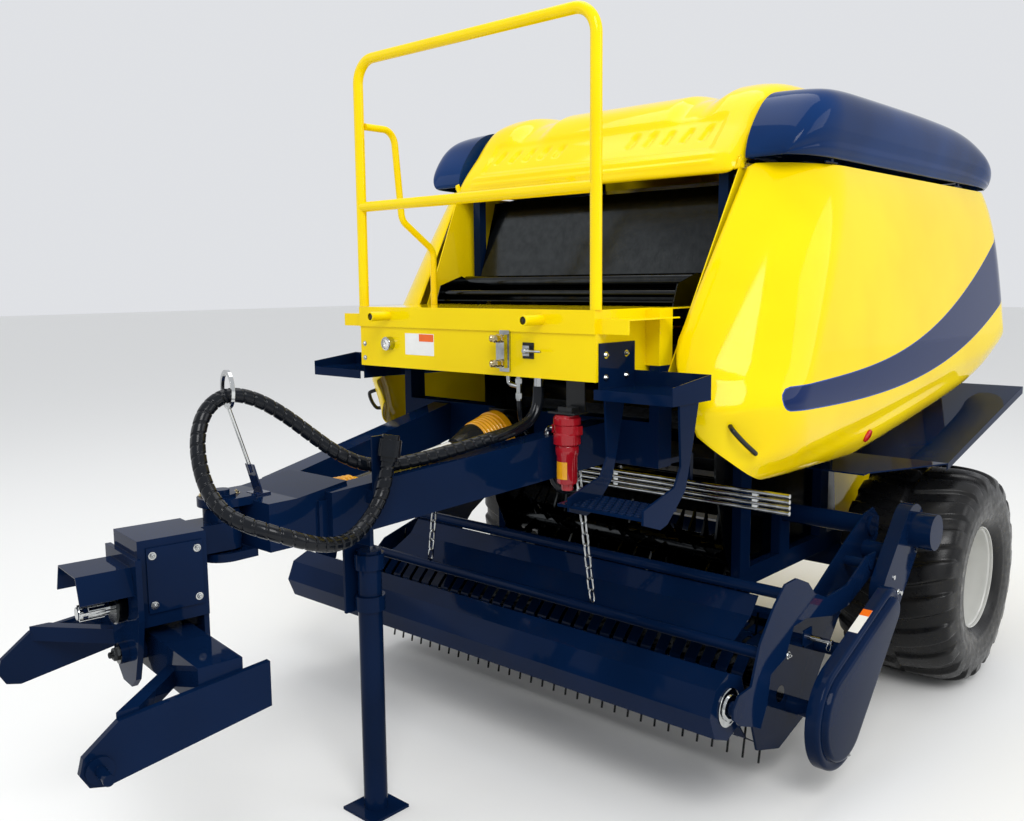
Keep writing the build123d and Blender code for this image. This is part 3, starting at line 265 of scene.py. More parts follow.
def piece(name, parts, looks, body, replaces=(), smooth=True, sharp_deg=None):
    """One named piece from (points, faces, look number) parts, riding on a body."""
    points, faces, marks, start = [], [], [], 0
    for grid, quads, *look in parts:
        points.append(np.asarray(grid, float).reshape(-1, 3))
        quads = quads.tolist() if isinstance(quads, np.ndarray) else quads
        faces += [[index + start for index in quad] for quad in quads]
        marks += [look[0] if look else 0] * len(quads)
        start += len(points[-1])
    mesh = bpy.data.meshes.new(name)
    mesh.from_pydata(np.concatenate(points).tolist(), [], faces)
    for look in (looks if isinstance(looks, (list, tuple)) else [looks]):
        mesh.materials.append(look)
    mesh.polygons.foreach_set("material_index", marks)
    mesh.polygons.foreach_set("use_smooth", [smooth] * len(mesh.polygons))
    mesh.update()
    if sharp_deg:
        mesh.set_sharp_from_angle(angle=np.radians(sharp_deg))
    made = bpy.data.objects.new(name, mesh)
    bpy.context.collection.objects.link(made)
    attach(made, body)
    if replaces:
        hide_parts(*replaces)
    return made


def unit(vectors):
    """Vectors brought to length 1."""
    return vectors / np.linalg.norm(vectors, axis=-1, keepdims=True)


def turned_form(profile, axis_from, axis_to, steps=48, ends=True):
    """A profile of (distance along, radius) pairs turned about the line between two points.
    Point = start + along * axis + radius * (cos a * side + sin a * up)."""
    start, end = np.array(axis_from, float), np.array(axis_to, float)
    axis = unit(end - start)
    side = unit(np.cross(axis, (0, 0, 1) if abs(axis[2]) < 0.9 else (0, 1, 0)))
    up = np.cross(side, axis)
    along, radius = np.array(profile, float).T
    a = np.arange(steps) / steps * TAU
    ring = np.cos(a)[:, None] * side + np.sin(a)[:, None] * up
    grid = start + along[:, None, None] * axis + radius[:, None, None] * ring
    faces = sheet_faces(len(along), steps, close_cols=True).tolist()
    if ends:
        last = (len(along) - 1) * steps
        faces.append(list(range(steps)))
        faces.append(list(range(last, last + steps))[::-1])
    return grid.reshape(-1, 3), faces


def recalculated(made):
    """Normals turned outwards on a closed piece after its doubles are merged."""
    work = bmesh.new()
    work.from_mesh(made.data)
    bmesh.ops.remove_doubles(work, verts=work.verts, dist=1e-5)
    bmesh.ops.recalc_face_normals(work, faces=work.faces)
    work.to_mesh(made.data)
    work.free()


def thicken(made, wall):
    """A sheet's thickness, inwards from the face that is drawn."""
    sheet = made.modifiers.new("sheet", "SOLIDIFY")
    sheet.thickness = wall
    sheet.offset = -1


# Hose bundle: the CAD route's points, in metres, as the control points of one smooth spline

HOSE_ROUTE = [
    (0.325, -0.600, 1.400), (0.325, -0.602, 1.355), (0.3245, -0.618, 1.313), (0.323, -0.650, 1.281),
    (0.320, -0.700, 1.262), (0.313, -0.765, 1.250), (0.298, -0.848, 1.238), (0.276, -0.936, 1.222),
    (0.250, -1.020, 1.208), (0.222, -1.105, 1.195), (0.192, -1.185, 1.188), (0.163, -1.262, 1.200),
    (0.130, -1.335, 1.242), (0.092, -1.402, 1.305), (0.053, -1.470, 1.372), (0.020, -1.545, 1.425),
    (0.002, -1.628, 1.446), (0.002, -1.700, 1.410), (0.020, -1.742, 1.338), (0.062, -1.765, 1.262),
    (0.122, -1.777, 1.192), (0.197, -1.775, 1.140), (0.275, -1.750, 1.115), (0.336, -1.700, 1.092),
    (0.362, -1.625, 1.058), (0.352, -1.540, 1.030), (0.328, -1.455, 1.022), (0.306, -1.380, 1.045),
    (0.293, -1.318, 1.090), (0.2873, -1.276, 1.150), (0.2873, -1.262, 1.225)]
HOSE_R = 0.022
WRAP_PITCH = 0.034       # between one turn of the spiral wrap and the next
WRAP_GAP = 0.0048        # half the width of the groove between turns
WRAP_DEPTH = 0.0030
BARE_LENGTH = 0.30       # of hoses before the wrap begins
STRAND_DEPTH = 0.0052    # of the valleys between the bare hoses
HOSE_GRAIN = 0.0018      # between one ring of its points and the next
HOSE_STEPS = 40          # points in a ring


def smooth_line(name, points):
    """Points read from a NURBS spline with the given control points, none of them twice."""
    curve = bpy.data.curves.new(name, "CURVE")
    curve.dimensions = "3D"
    curve.resolution_u = 24
    spline = curve.splines.new("NURBS")
    spline.points.add(len(points) - 1)
    spline.points.foreach_set("co", [value for point in points for value in (*point, 1.0)])
    spline.use_endpoint_u = True
    spline.order_u = 3
    holder = bpy.data.objects.new(name, curve)
    bpy.context.collection.objects.link(holder)
    bpy.context.view_layer.update()
    line = bpy.data.meshes.new_from_object(holder.evaluated_get(bpy.context.evaluated_depsgraph_get()))
    read = np.array([v.co for v in line.vertices], float).reshape(-1, 3)
    bpy.data.objects.remove(holder)
    bpy.data.curves.remove(curve)
    return read[np.concatenate([[True], np.linalg.norm(np.diff(read, axis=0), axis=1) > 1e-7])]


def run_along(line):
    """Distance of each point of a line from the line's start."""
    return np.concatenate([[0], np.cumsum(np.linalg.norm(np.diff(line, axis=0), axis=1))])


def points_at(line, at):
    """Points of a line at given distances from its start."""
    along = run_along(line)
    return np.stack([np.interp(at, along, column) for column in line.T], 1)


def line_frames(line, step):
    """A line resampled every step metres, with side and up directions carried along it without twist."""
    length = run_along(line)[-1]
    at = np.linspace(0, length, int(round(length / step)) + 1)
    centre = points_at(line, at)
    ahead = unit(np.gradient(centre, axis=0))
    side = np.zeros_like(centre)
    side[0] = unit(np.cross(ahead[0], (0.3, 0.9, 0.1)))
    for k in range(1, len(at)):
        side[k] = unit(side[k - 1] - (side[k - 1] @ ahead[k]) * ahead[k])
    return at, centre, side, np.cross(ahead, side)


def carried_round(centre, side, up, radius, steps):
    """Rings carried along a line, with capped ends. Point = centre + radius * (cos a * side + sin a * up)."""
    a = np.arange(steps)[:, None] / steps * TAU
    ring = np.cos(a) * side[:, None, :] + np.sin(a) * up[:, None, :]
    grid = centre[:, None, :] + np.broadcast_to(radius, ring.shape[:2])[..., None] * ring
    last = (len(centre) - 1) * steps
    caps = [list(range(steps))[::-1], list(range(last, last + steps))]
    return grid.reshape(-1, 3), sheet_faces(len(centre), steps, close_cols=True).tolist() + caps


def hose_bundle():
    """Tube round the spline. Radius = bundle radius less a groove where the wrap's helix leaves its gap:
    the helix runs once round every WRAP_PITCH, so groove = dip of (along / pitch - angle / full turn).
    Before the wrap begins the bundle is four bare hoses, so its section has four lobes."""
    at, centre, side, up = line_frames(smooth_line("hose_line", HOSE_ROUTE), HOSE_GRAIN)
    a = np.arange(HOSE_STEPS)[None, :] / HOSE_STEPS * TAU
    at = at[:, None]
    phase = (at / WRAP_PITCH - a / TAU) % 1.0
    away = np.abs(phase - 0.5) * WRAP_PITCH
    groove = np.cos(np.clip(away / WRAP_GAP, 0, 1) * np.pi / 2) ** 2
    bare = np.clip((BARE_LENGTH - at) / 0.01, 0, 1)
    strands = STRAND_DEPTH * (1 - np.abs(np.cos(2 * a + at * 9)) ** 0.7)
    radius = HOSE_R - WRAP_DEPTH * groove * (1 - bare) - strands * bare
    made = piece("hose_bundle", [carried_round(centre, side, up, radius, HOSE_STEPS)], HOSE_PLASTIC, "frame",
                 ["hose"])


hose_bundle()


# Body panels

def smooth_between(points, count):
    """A smooth flat line through the neighbourhood of a few control points, evenly sampled by length."""
    line = smooth_line("profile", [(*point, 0.0) for point in points])[:, :2]
    return points_at(line, np.linspace(0, run_along(line)[-1], count))


def left_normals(line):
    """Unit normals of a flat profile, to the left of its run."""
    ahead = unit(np.gradient(line, axis=0))
    return np.stack([-ahead[:, 1], ahead[:, 0]], 1)


def soft_corners(outline, reaches, count):
    """A closed polygon with each corner cut to a curve that starts its reach before it, evenly sampled.
    Curve = corner + back * (1 - t)^2 + ahead * t^2."""
    outline = np.array(outline, float)
    drawn = []
    corners = zip(np.roll(outline, 1, 0), outline, np.roll(outline, -1, 0), reaches)
    for before, corner, after, reach in corners:
        back, ahead = before - corner, after - corner
        back *= min(reach / np.linalg.norm(back), 0.48)
        ahead *= min(reach / np.linalg.norm(ahead), 0.48)
        t = np.linspace(0, 1, 9)[:, None]
        drawn.append(corner + back * (1 - t) ** 2 + ahead * t ** 2)
    line = np.concatenate(drawn + [drawn[0][:1]])
    return points_at(line, np.linspace(0, run_along(line)[-1], count, endpoint=False))


def edge_fall(share, power=2.0):
    """How far a rolled edge has dropped, 1 at the rim and 0 once share reaches 1:
    1 - (1 - (1 - share)^power)^(1 / power)."""
    rest = 1 - np.clip(share, 0, 1)
    return 1 - (1 - rest ** power) ** (1 / power)


# The door's corners as (y, z), from the top of its front edge down, back along the sill and up the tail
DOOR_OUTLINE = [(0.090, 2.180), (-0.350, 1.450), (-0.390, 1.330), (-0.300, 1.150), (-0.130, 1.060),
                (0.600, 1.048), (2.040, 1.312), (2.2648, 1.440), (2.2448, 1.640), (2.170, 2.180)]
DOOR_MIDDLE = (0.95, 1.62)
DOOR_REACHES = [0.004] + [0.12] * 8 + [0.004]      # its two top corners stay sharp
DOOR_STEPS, DOOR_RINGS = 380, 57
DOOR_SIDE = np.polyfit((2.180, 1.820, 1.440, 1.200, 1.040), (0.952, 1.032, 1.062, 1.040, 0.968), 4)
HANDLE_Y, HANDLE_Z = -0.262, 1.232
FRONT_ROLL, SILL_ROLL, TAIL_ROLL = 0.30, 0.13, 0.18      # how far in from its edge each roll begins
SILL_DROP, TAIL_DROP = 0.075, 0.085
DISH_DEPTH, CREASE_DEPTH = 0.014, 0.006


def inside_edges(y, z, corners):
    """Least distance in from some edges of the door, each named by the number of its first corner."""
    depths = []
    for k in corners:
        start, end = np.array(DOOR_OUTLINE[k:k + 2])
        run = unit(end - start)
        depths.append(run[0] * (z - start[1]) - run[1] * (y - start[0]))
    return np.minimum.reduce(depths)


def door_surface(y, z):
    """Outer face x of a door: the side's bulge by height, less the roll of the front, the sill and the tail
    edge, a shallow dish behind the handle and a soft crease that rises to the tail."""
    side = np.polyval(DOOR_SIDE, z)
    inner = np.interp(z, (1.050, 1.200, 1.455, 2.185), (0.940, 0.830, 0.682, 0.742))
    front, sill, tail = (inside_edges(y, z, corners) for corners in ((0, 1, 2), (4, 5), (6, 8)))
    x = side - (side - inner) * edge_fall(front / FRONT_ROLL, 1.75)
    x = x - SILL_DROP * edge_fall(sill / SILL_ROLL) - TAIL_DROP * edge_fall(tail / TAIL_ROLL)
    dish = np.exp(-((y - HANDLE_Y) / 0.055) ** 2 - ((z - HANDLE_Z) / 0.085) ** 2)
    crease = np.exp(-((z - 1.13 - 0.13 * y) / 0.035) ** 2)
    crease = crease * np.clip(sill / 0.05, 0, 1) * np.clip(tail / 0.1, 0, 1)
    return x - DISH_DEPTH * dish - CREASE_DEPTH * crease


# The stripe's upper and lower line along the door, the tip of its round front end, and its paler border
STRIPE_TOP = np.polyfit((-0.263, -0.170, 0.293, 0.769, 1.348, 2.038, 2.30),
                        (1.399, 1.404, 1.423, 1.469, 1.620, 1.929, 2.075), 4)
STRIPE_LOW = np.polyfit((-0.263, -0.176, 0.302, 0.784, 1.363, 2.135, 2.30),
                        (1.327, 1.320, 1.312, 1.334, 1.407, 1.649, 1.715), 4)
STRIPE_START = -0.175
STRIPE_BORDER = 0.004


def stripe_reach(y, z):
    """Distance inside the side stripe, negative outside it, with its front end rounded."""
    high, low = np.polyval(STRIPE_TOP, y) - z, z - np.polyval(STRIPE_LOW, y)
    middle = (high - low) / 2
    half = (high + low) / 2
    front = y - STRIPE_START
    straight = np.minimum(high, low)
    cap = half - np.hypot(np.maximum(half - front, 0), middle)
    return np.where(front < half, cap, straight)


def striped_enamel():
    """Gloss yellow enamel under a dark blue film with a paler border: the film lies where the stripe
    attribute, a distance in metres, is above zero."""
    material = YELLOW.copy()
    material.name = "yellow_enamel_striped"
    tree = material.node_tree
    bsdf = tree.nodes["Principled BSDF"]
    under = bsdf.inputs["Base Color"].links[0].from_socket
    reach = add_node(tree, "ShaderNodeAttribute", {"attribute_name": "stripe"}).outputs["Fac"]
    inside, within = (add_node(tree, "ShaderNodeMath", {"operation": "GREATER_THAN", 1: edge},
                               {0: reach}).outputs["Value"] for edge in (0.0, STRIPE_BORDER))
    film = add_node(tree, "ShaderNodeMix",
                    {"data_type": "RGBA", MIX_A: srgb("2A4C94"), MIX_B: srgb("0E2350")}, {0: within})
    over = add_node(tree, "ShaderNodeMix", {"data_type": "RGBA"},
                    {0: inside, MIX_A: under, MIX_B: film.outputs[MIX_OUT]})
    tree.links.new(over.outputs[MIX_OUT], bsdf.inputs["Base Color"])
    return material


STRIPED = striped_enamel()


def rod(start, end, radius, steps=16):
    """A plain round rod between two points."""
    length = float(np.linalg.norm(np.subtract(end, start)))
    return turned_form([(0, radius), (length, radius)], start, end, steps)


def side_door(side, name):
    """A bulged side door: rings of its outline drawn in towards its middle, each point lifted to the door's
    face."""
    outline = soft_corners(DOOR_OUTLINE, DOOR_REACHES, DOOR_STEPS)
    middle = np.array(DOOR_MIDDLE)
    draw = 1 - np.linspace(0, 1, DOOR_RINGS + 1)[:-1, None, None] ** 1.7
    flat = (middle + (outline - middle) * draw).reshape(-1, 2)
    flat = np.concatenate([flat, [middle]])
    points = np.column_stack([side * door_surface(*flat.T), flat])
    last = (DOOR_RINGS - 1) * DOOR_STEPS
    fan = [[last + j, last + (j + 1) % DOOR_STEPS, len(flat) - 1] for j in range(DOOR_STEPS)]
    quads = sheet_faces(DOOR_RINGS, DOOR_STEPS, close_cols=True)[:, ::-1].tolist() + fan
    if side < 0:
        quads = [quad[::-1] for quad in quads]
    made = piece(name + "_skin", [(points, quads)], STRIPED, name, [name])
    mark = made.data.attributes.new("stripe", "FLOAT", "POINT")
    mark.data.foreach_set("value", stripe_reach(points[:, 1], points[:, 2]))
    thicken(made, 0.005)
    hinge = rod((side * 0.905, 0.420, 2.140), (side * 0.905, 2.000, 2.140), 0.007)
    piece(name + "_hinge", [hinge], ZINC, name)


for side, hand in SIDES:
    side_door(side, "door_" + hand)


def tube(points, radius, steps=16, grain=0.006):
    """A round bar along the smooth line of its control points, closed at both ends."""
    return carried_round(*line_frames(smooth_line("bar", points), grain)[1:], radius, steps)


def slab(corner, right, up, depth):
    """A flat block from one corner and its three edge vectors."""
    corner, right, up, depth = (np.array(v, float) for v in (corner, right, up, depth))
    points = [corner + right * i + up * j + depth * k for k in (0, 1) for j in (0, 1) for i in (0, 1)]
    faces = [(0, 2, 3, 1), (4, 5, 7, 6), (0, 1, 5, 4), (2, 6, 7, 3), (0, 4, 6, 2), (1, 3, 7, 5)]
    if np.dot(np.cross(right, up), depth) < 0:
        faces = [face[::-1] for face in faces]
    return np.array(points), faces


def bolt(place, toward, size):
    """A hexagon head on its washer with the bolt's end in it, standing out from place."""
    place, size = np.array(place, float), float(size)
    head = ([(0, 0.55), (0.42, 0.55), (0.5, 0.48)], 6)
    washer = ([(0, 0.85), (0.09, 0.85)], 20)
    end = ([(0.3, 0.28), (0.75, 0.27), (0.8, 0.22)], 12)
    return [turned_form(np.array(profile) * size, place, place + toward, steps)
            for profile, steps in (head, washer, end)]


def bolts(places, toward, size):
    """Bolts of one size that all stand the same way."""
    return [form for place in places for form in bolt(place, toward, size)]


def door_fittings(side, name):
    """Bow handle in its dish, and a round red reflector below the stripe."""
    def on_face(y, z, out):
        """A point out metres off the door's face."""
        here = np.array((door_surface(y, z), y, z), float)
        along_y = np.array((door_surface(y + 0.004, z), y + 0.004, z)) - here
        along_z = np.array((door_surface(y, z + 0.004), y, z + 0.004)) - here
        return np.array((side, 1, 1)) * (here + unit(np.cross(along_y, along_z)) * out)

    ends = np.array([(-0.305, 1.278), (-0.226, 1.186)])
    steps = [(0.0, -0.004), (0.0, 0.022), (0.04, 0.034), (0.5, 0.042), (0.96, 0.034), (1.0, 0.022),
             (1.0, -0.004)]
    bow = [on_face(*(ends[0] + (ends[1] - ends[0]) * t), out) for t, out in steps]
    piece(name + "_handle", [tube(bow, 0.0085)], BLACK_PLASTIC, name)
    foot, tip = on_face(0.568, 1.150, -0.002), on_face(0.568, 1.150, 0.006)
    cup = turned_form([(0, 0.027), (0.006, 0.027), (0.0085, 0.022), (0.0085, 0.001)], foot, tip, 32)
    piece(name + "_reflector", [cup], LAMP_RED, name)


for side, hand in SIDES:
    door_fittings(side, "door_" + hand)


FAIRING_FOOT, FAIRING_WALL = 2.199, 0.735      # its lower edge's z and its inner wall's x


def fairing(side, name):
    """Top fairing: one rounded shoulder section carried back along the roof line, its height share and width
    share falling to nothing at the nose and the tail."""
    roof = smooth_between([(0.075, 2.199), (0.078, 2.25), (0.125, 2.33), (0.215, 2.43), (0.34, 2.47),
                           (0.7, 2.472), (1.3, 2.470), (1.7, 2.455), (1.95, 2.40), (2.13, 2.32),
                           (2.188, 2.23), (2.190, 2.199)], 110)
    section = smooth_between([(0.956, 2.199), (0.968, 2.24), (0.990, 2.31), (0.992, 2.39), (0.955, 2.452),
                              (0.87, 2.472), (0.735, 2.476)], 44)
    wall = np.stack([np.full(8, FAIRING_WALL), np.linspace(2.476, FAIRING_FOOT, 9)[1:]], 1)
    out, high = np.concatenate([section, wall]).T
    height = (roof[:, 1:] - FAIRING_FOOT) / 0.273
    width = 1 - 0.42 * edge_fall((roof[:, :1] - 0.075) / 0.26) - 0.3 * edge_fall((2.19 - roof[:, :1]) / 0.25)
    crown = 0.006 * np.exp(-((high - 2.235) / 0.012) ** 2) * (out > 0.94)
    x = FAIRING_WALL + (out - FAIRING_WALL) * width + crown
    z = FAIRING_FOOT + (high - FAIRING_FOOT) * height
    grid = np.stack([side * x, np.broadcast_to(roof[:, :1], x.shape), z], -1)
    made = piece(name + "_skin", [(grid, sheet_faces(*x.shape)[:, ::side])], FAIRING_NAVY, "frame",
                 [name], sharp_deg=50)
    thicken(made, 0.004)


for side, hand in SIDES:
    fairing(side, "fairing_" + hand)


def step_up(value, start, end):
    """0 before start, 1 after end, with a smooth rise between."""
    t = np.clip((value - start) / (end - start), 0, 1)
    return t * t * (3 - 2 * t)


HOOD_HALF = 0.725
HUMP_RISE, PLATEAU_RISE, LIP_RISE = 0.034, 0.026, 0.006
PANEL_SINK, LOUVRE_SINK, SIDE_DROP = 0.006, 0.009, 0.055


def hood():
    """Hood: the front-to-back profile carried across the body, pushed out along its own normal by side humps,
    a middle plateau, a sunk louvre panel and a double rolled lip, and rolled down at both sides."""
    line = smooth_between([(0.085, 2.160), (0.045, 2.142), (0.030, 2.165), (0.052, 2.215), (0.115, 2.290),
                           (0.215, 2.395), (0.33, 2.468), (0.47, 2.500), (0.70, 2.503), (0.958, 2.500)], 150)
    run = run_along(line)[:, None]
    bend = np.pi / 2 * 0.94
    x = np.sin(np.linspace(-1, 1, 240) * bend) / np.sin(bend) * HOOD_HALF
    across = np.abs(x)[None, :]
    top = step_up(run, 0.26, 0.46) * (1 - step_up(run, run[-1] - 0.20, run[-1] - 0.02))
    hump = HUMP_RISE * step_up(across, 0.44, 0.56) * (1 - 0.35 * step_up(across, 0.60, 0.72)) * top
    plateau = PLATEAU_RISE * (1 - step_up(across, 0.30, 0.38)) * top
    panel = (PANEL_SINK * step_up(run, 0.150, 0.166) * (1 - step_up(run, 0.315, 0.350))
             * (1 - step_up(across, 0.575, 0.605)))
    rolls = (LIP_RISE * (np.exp(-((run - 0.125) / 0.009) ** 2) + np.exp(-((run - 0.092) / 0.009) ** 2))
             * (1 - step_up(across, 0.60, 0.64)))
    louvres = LOUVRE_SINK * step_up(run, 0.213, 0.218) * (1 - step_up(run, 0.272, 0.300))
    slots = sum(louvres * np.exp(-((x[None, :] - centre - (run - 0.255) * 0.22) / 0.013) ** 4)
                for centre in np.concatenate([np.linspace(-0.53, -0.19, 5), np.linspace(0.19, 0.53, 5)]))
    sides = SIDE_DROP * edge_fall((HOOD_HALF - across) / 0.07, 2.2)
    out = hump + plateau - panel + rolls - slots - sides
    flat = line[:, None, :] + left_normals(line)[:, None, :] * out[..., None]
    grid = np.concatenate([np.broadcast_to(x[:, None], (*out.shape, 1)), flat], 2)
    made = piece("hood_skin", [(grid, sheet_faces(*out.shape)[:, ::-1])], YELLOW, "hood",
                 ["hood"])
    thicken(made, 0.005)


hood()


# Wheels

WHEEL_X, AXLE_Y, AXLE_Z = 1.050, 1.220, 0.4725
TREAD_HALF = 0.235
LUGS, LUG_HEIGHT, LUG_SWEEP = 20, 0.0155, 0.075
WALL_RINGS, WALL_RING_HEIGHT = (0.335, 0.262), 0.0022      # radii and height of the rings on each side wall
TYRE_STEPS, RIM_STEPS = 720, 96
NUTS, NUT_CIRCLE = 8, 0.108


def tyre(side, name, body):
    """Flotation tyre: the carcass section turned about the axle, with low bars that sweep from the middle to
    the shoulder. Bar = soft step of the distance from its centre line, which leads by
    sweep * (|across| / half)^1.5."""
    carcass = smooth_between([(-0.2097, 0.2163), (-0.232, 0.235), (-0.252, 0.30), (-0.252, 0.375),
                              (-0.225, 0.425), (-0.15, 0.452), (0, 0.457), (0.15, 0.452), (0.225, 0.425),
                              (0.252, 0.375), (0.252, 0.30), (0.232, 0.235), (0.2097, 0.2163)], 110)
    w, r = carcass[:, :1], carcass[:, 1:]
    turn = np.arange(TYRE_STEPS)[None, :] / TYRE_STEPS * TAU
    share = np.abs(w) / TREAD_HALF
    lead = LUG_SWEEP * share ** 1.5 / AXLE_Z
    phase = (turn + lead) / (TAU / LUGS) + np.where(w > 0, 0.0, 0.5)
    away = np.abs(phase % 1.0 - 0.5)
    bar = step_up(0.305 - 0.035 * share - away, -0.045, 0.045)
    reach = (1 - step_up(share, 0.93, 1.06)) * step_up(share, 0.015, 0.06)
    rings = WALL_RING_HEIGHT * sum(np.exp(-((r - ring) / 0.004) ** 2) for ring in WALL_RINGS) * (share > 1.0)
    lift = LUG_HEIGHT * bar * reach * (r > 0.36) + rings
    over, out = left_normals(carcass).T[..., None]
    u, v = w + over * lift, r + out * lift
    grid = np.stack([side * WHEEL_X + u, AXLE_Y + v * np.cos(turn), AXLE_Z + v * np.sin(turn)], -1)
    faces = sheet_faces(*lift.shape, close_rows=True, close_cols=True)
    made = piece(name + "_tread", [(grid, faces)], RUBBER, body, [name], sharp_deg=60)
    recalculated(made)


def rim(side, name, body):
    """Dished wheel rim and hub turned about the axle, with wheel nuts."""
    section = [(-0.130, 0.03), (-0.130, 0.088), (0.040, 0.092), (0.042, 0.180), (0.030, 0.195),
               (-0.06, 0.200), (-0.170, 0.203), (-0.205, 0.212), (-0.210, 0.232), (-0.218, 0.238),
               (-0.218, 0.232), (-0.212, 0.216), (0.206, 0.2160), (0.212, 0.2165), (0.2175, 0.230),
               (0.2185, 0.2375), (0.215, 0.2385), (0.209, 0.232), (0.206, 0.220), (0.196, 0.2095),
               (0.180, 0.206), (0.165, 0.2065), (0.150, 0.200), (0.095, 0.196), (0.075, 0.190),
               (0.066, 0.176), (0.064, 0.150), (0.058, 0.125), (0.058, 0.094), (0.085, 0.090),
               (0.088, 0.056), (0.128, 0.055), (0.130, 0.050), (0.130, 0.02)]
    start, end = (side * WHEEL_X, AXLE_Y, AXLE_Z), (side * (WHEEL_X + 1), AXLE_Y, AXLE_Z)
    parts = [(*turned_form(section, start, end, RIM_STEPS), 0)]
    for a in np.arange(NUTS) / NUTS * TAU:
        place = (side * (WHEEL_X + 0.058), AXLE_Y + NUT_CIRCLE * np.cos(a), AXLE_Z + NUT_CIRCLE * np.sin(a))
        parts += [(*form, 1) for form in bolt(place, (side, 0, 0), 0.017)]
    made = piece(name + "_dish", parts, [SILVER, ZINC], body, [name], sharp_deg=32)
    recalculated(made)


for side, hand in SIDES:
    tyre(side, "tyre_" + hand, "wheel_" + hand)
    rim(side, "rim_" + hand, "wheel_" + hand)


# Pickup drive cover

BELT_STEPS = 160


def belt_outline(circles, shrink):
    """The line a belt takes round two circles, drawn in by shrink: centre + (radius - shrink) * direction,
    with the circle that reaches further in that direction."""
    a = np.arange(BELT_STEPS) / BELT_STEPS * TAU
    way = np.stack([np.cos(a), np.sin(a)], 1)
    centres, radii = np.array(circles)[:, :2], np.array(circles)[:, 2]
    pick = np.argmax(way @ centres.T + radii, axis=1)
    return centres[pick] + (radii[pick] - shrink)[:, None] * way


def drive_cover():
    """Pressed cover of the pickup drive: the belt outline at each depth, with a rolled rim and a raised inner
    face."""
    circles = [(-0.110, 0.300, 0.190), (0.290, 0.560, 0.085)]
    rim_line = [(1.202, 0.0), (1.236, 0.0), (1.2405, 0.001), (1.2445, 0.0035), (1.2475, 0.0075),
                (1.2490, 0.0125), (1.2495, 0.026), (1.2480, 0.0285), (1.2480, 0.0315), (1.2520, 0.034),
                (1.2590, 0.036), (1.2625, 0.039), (1.2645, 0.044), (1.2650, 0.050)]
    rows = [np.column_stack([np.full(BELT_STEPS, x), belt_outline(circles, shrink)])
            for x, shrink in rim_line]
    faces = sheet_faces(len(rows), BELT_STEPS, close_cols=True).tolist()
    last = (len(rows) - 1) * BELT_STEPS
    faces += [list(range(BELT_STEPS)), list(range(last, last + BELT_STEPS))[::-1]]
    made = piece("pickup_cover_shell", [(np.array(rows), faces)], NAVY, "pickup",
                 ["pickup_cover"], sharp_deg=50)
    recalculated(made)
    stubs = [rod((1.030, y, z), (1.204, y, z), r, 24)
             for y, z, r in ((-0.060, 0.260, 0.030), (0.150, 0.420, 0.025))]
    piece("pickup_cover_stubs", stubs, NAVY, "pickup", sharp_deg=40)
    places = [(1.2492, -0.236, 0.375), (1.2492, -0.055, 0.140), (1.2492, 0.345, 0.620)]
    heads = bolts(places, (1, 0, 0), 0.012)
    piece("pickup_cover_bolts", heads, ZINC, "pickup", sharp_deg=30)


drive_cover()


# Driveline, filter and chains

def turned_piece(name, profile, start, end, look, nodes=(), steps=48):
    """One turned part of the frame as a piece of its own."""
    recalculated(piece(name, [turned_form(profile, start, end, steps)], look, "frame", nodes,
                       sharp_deg=35))


def shaft_teeth(root, way, side, up, height, length):
    """Six straight teeth, 8 mm wide, round a splined shaft of 16.5 mm radius, from root along way."""
    teeth = []
    for a in np.arange(6) / 6 * TAU:
        out = np.cos(a) * side + np.sin(a) * up
        over = np.cos(a + np.pi / 2) * side + np.sin(a + np.pi / 2) * up
        teeth.append(slab(root + out * 0.0165 - over * 0.004, over * 0.008, out * height, way * length))
    return teeth


def bellows(first, last, low, high, count):
    """Profile of a ribbed cone: radius from low to high, with a fold of 7 mm in each of count parts."""
    share = np.linspace(0, 1, count * 8 + 1)
    fold = np.abs(np.sin(share * count * np.pi)) ** 0.6
    return list(zip(first + (last - first) * share, low + (high - low) * share + 0.007 * fold))


def driveline():
    """Shaft guard: two ribbed bellows cones and a plain tube, turned about the line of the splined shaft that
    they cover."""
    start = np.array((0, -1.575, 1.032))
    way = unit(np.array((0, 1.165, 0.163)))
    end = start + way
    front = [(0.262, 0.02), (0.262, 0.062), (0.268, 0.064), (0.285, 0.062),
             *bellows(0.287, 0.405, 0.056, 0.040, 7), (0.415, 0.038), (0.424, 0.034), (0.424, 0.02)]
    rear = [(0.985, 0.03), (0.985, 0.068), *bellows(0.990, 1.085, 0.068, 0.080, 6),
            (1.088, 0.090), (1.118, 0.091), (1.122, 0.086), (1.122, 0.02)]
    turned_piece("guard_cone_front", front, start, end, GUARD_YELLOW, ["driveline"])
    for name, profile, look, slot in (
            ("guard_bellows", rear, GUARD_YELLOW, "driveline_plastic"),
            ("guard_tube", [(0.42, 0.02), (0.42, 0.034), (0.90, 0.034), (0.90, 0.02)], BLACK_PLASTIC,
             "black_hose"),
            ("guard_collar", [(0.885, 0.02), (0.885, 0.040), (0.90, 0.046), (0.975, 0.070), (0.988, 0.070),
                              (0.988, 0.02)], BLACK_PLASTIC, "black_hose"),
            ("guard_label", [(0.70, 0.030), (0.70, 0.0348), (0.86, 0.0348), (0.86, 0.030)], LABEL,
             "bright_steel"),
            ("drive_shaft", [(0.0, 0.005), (0.0, 0.018), (0.004, 0.020), (0.265, 0.020)], ZINC,
             "bright_steel"),
            ("drive_shaft_rear", [(1.118, 0.019), (1.176, 0.020), (1.176, 0.005)], ZINC, "bright_steel")):
        turned_piece(name, profile, start, end, look)
    across = np.array((1.0, 0, 0))
    teeth = shaft_teeth(start + way * 0.004, way, across, np.cross(across, way), 0.0055, 0.075)
    piece("shaft_splines", teeth, ZINC, "frame", smooth=False)


driveline()


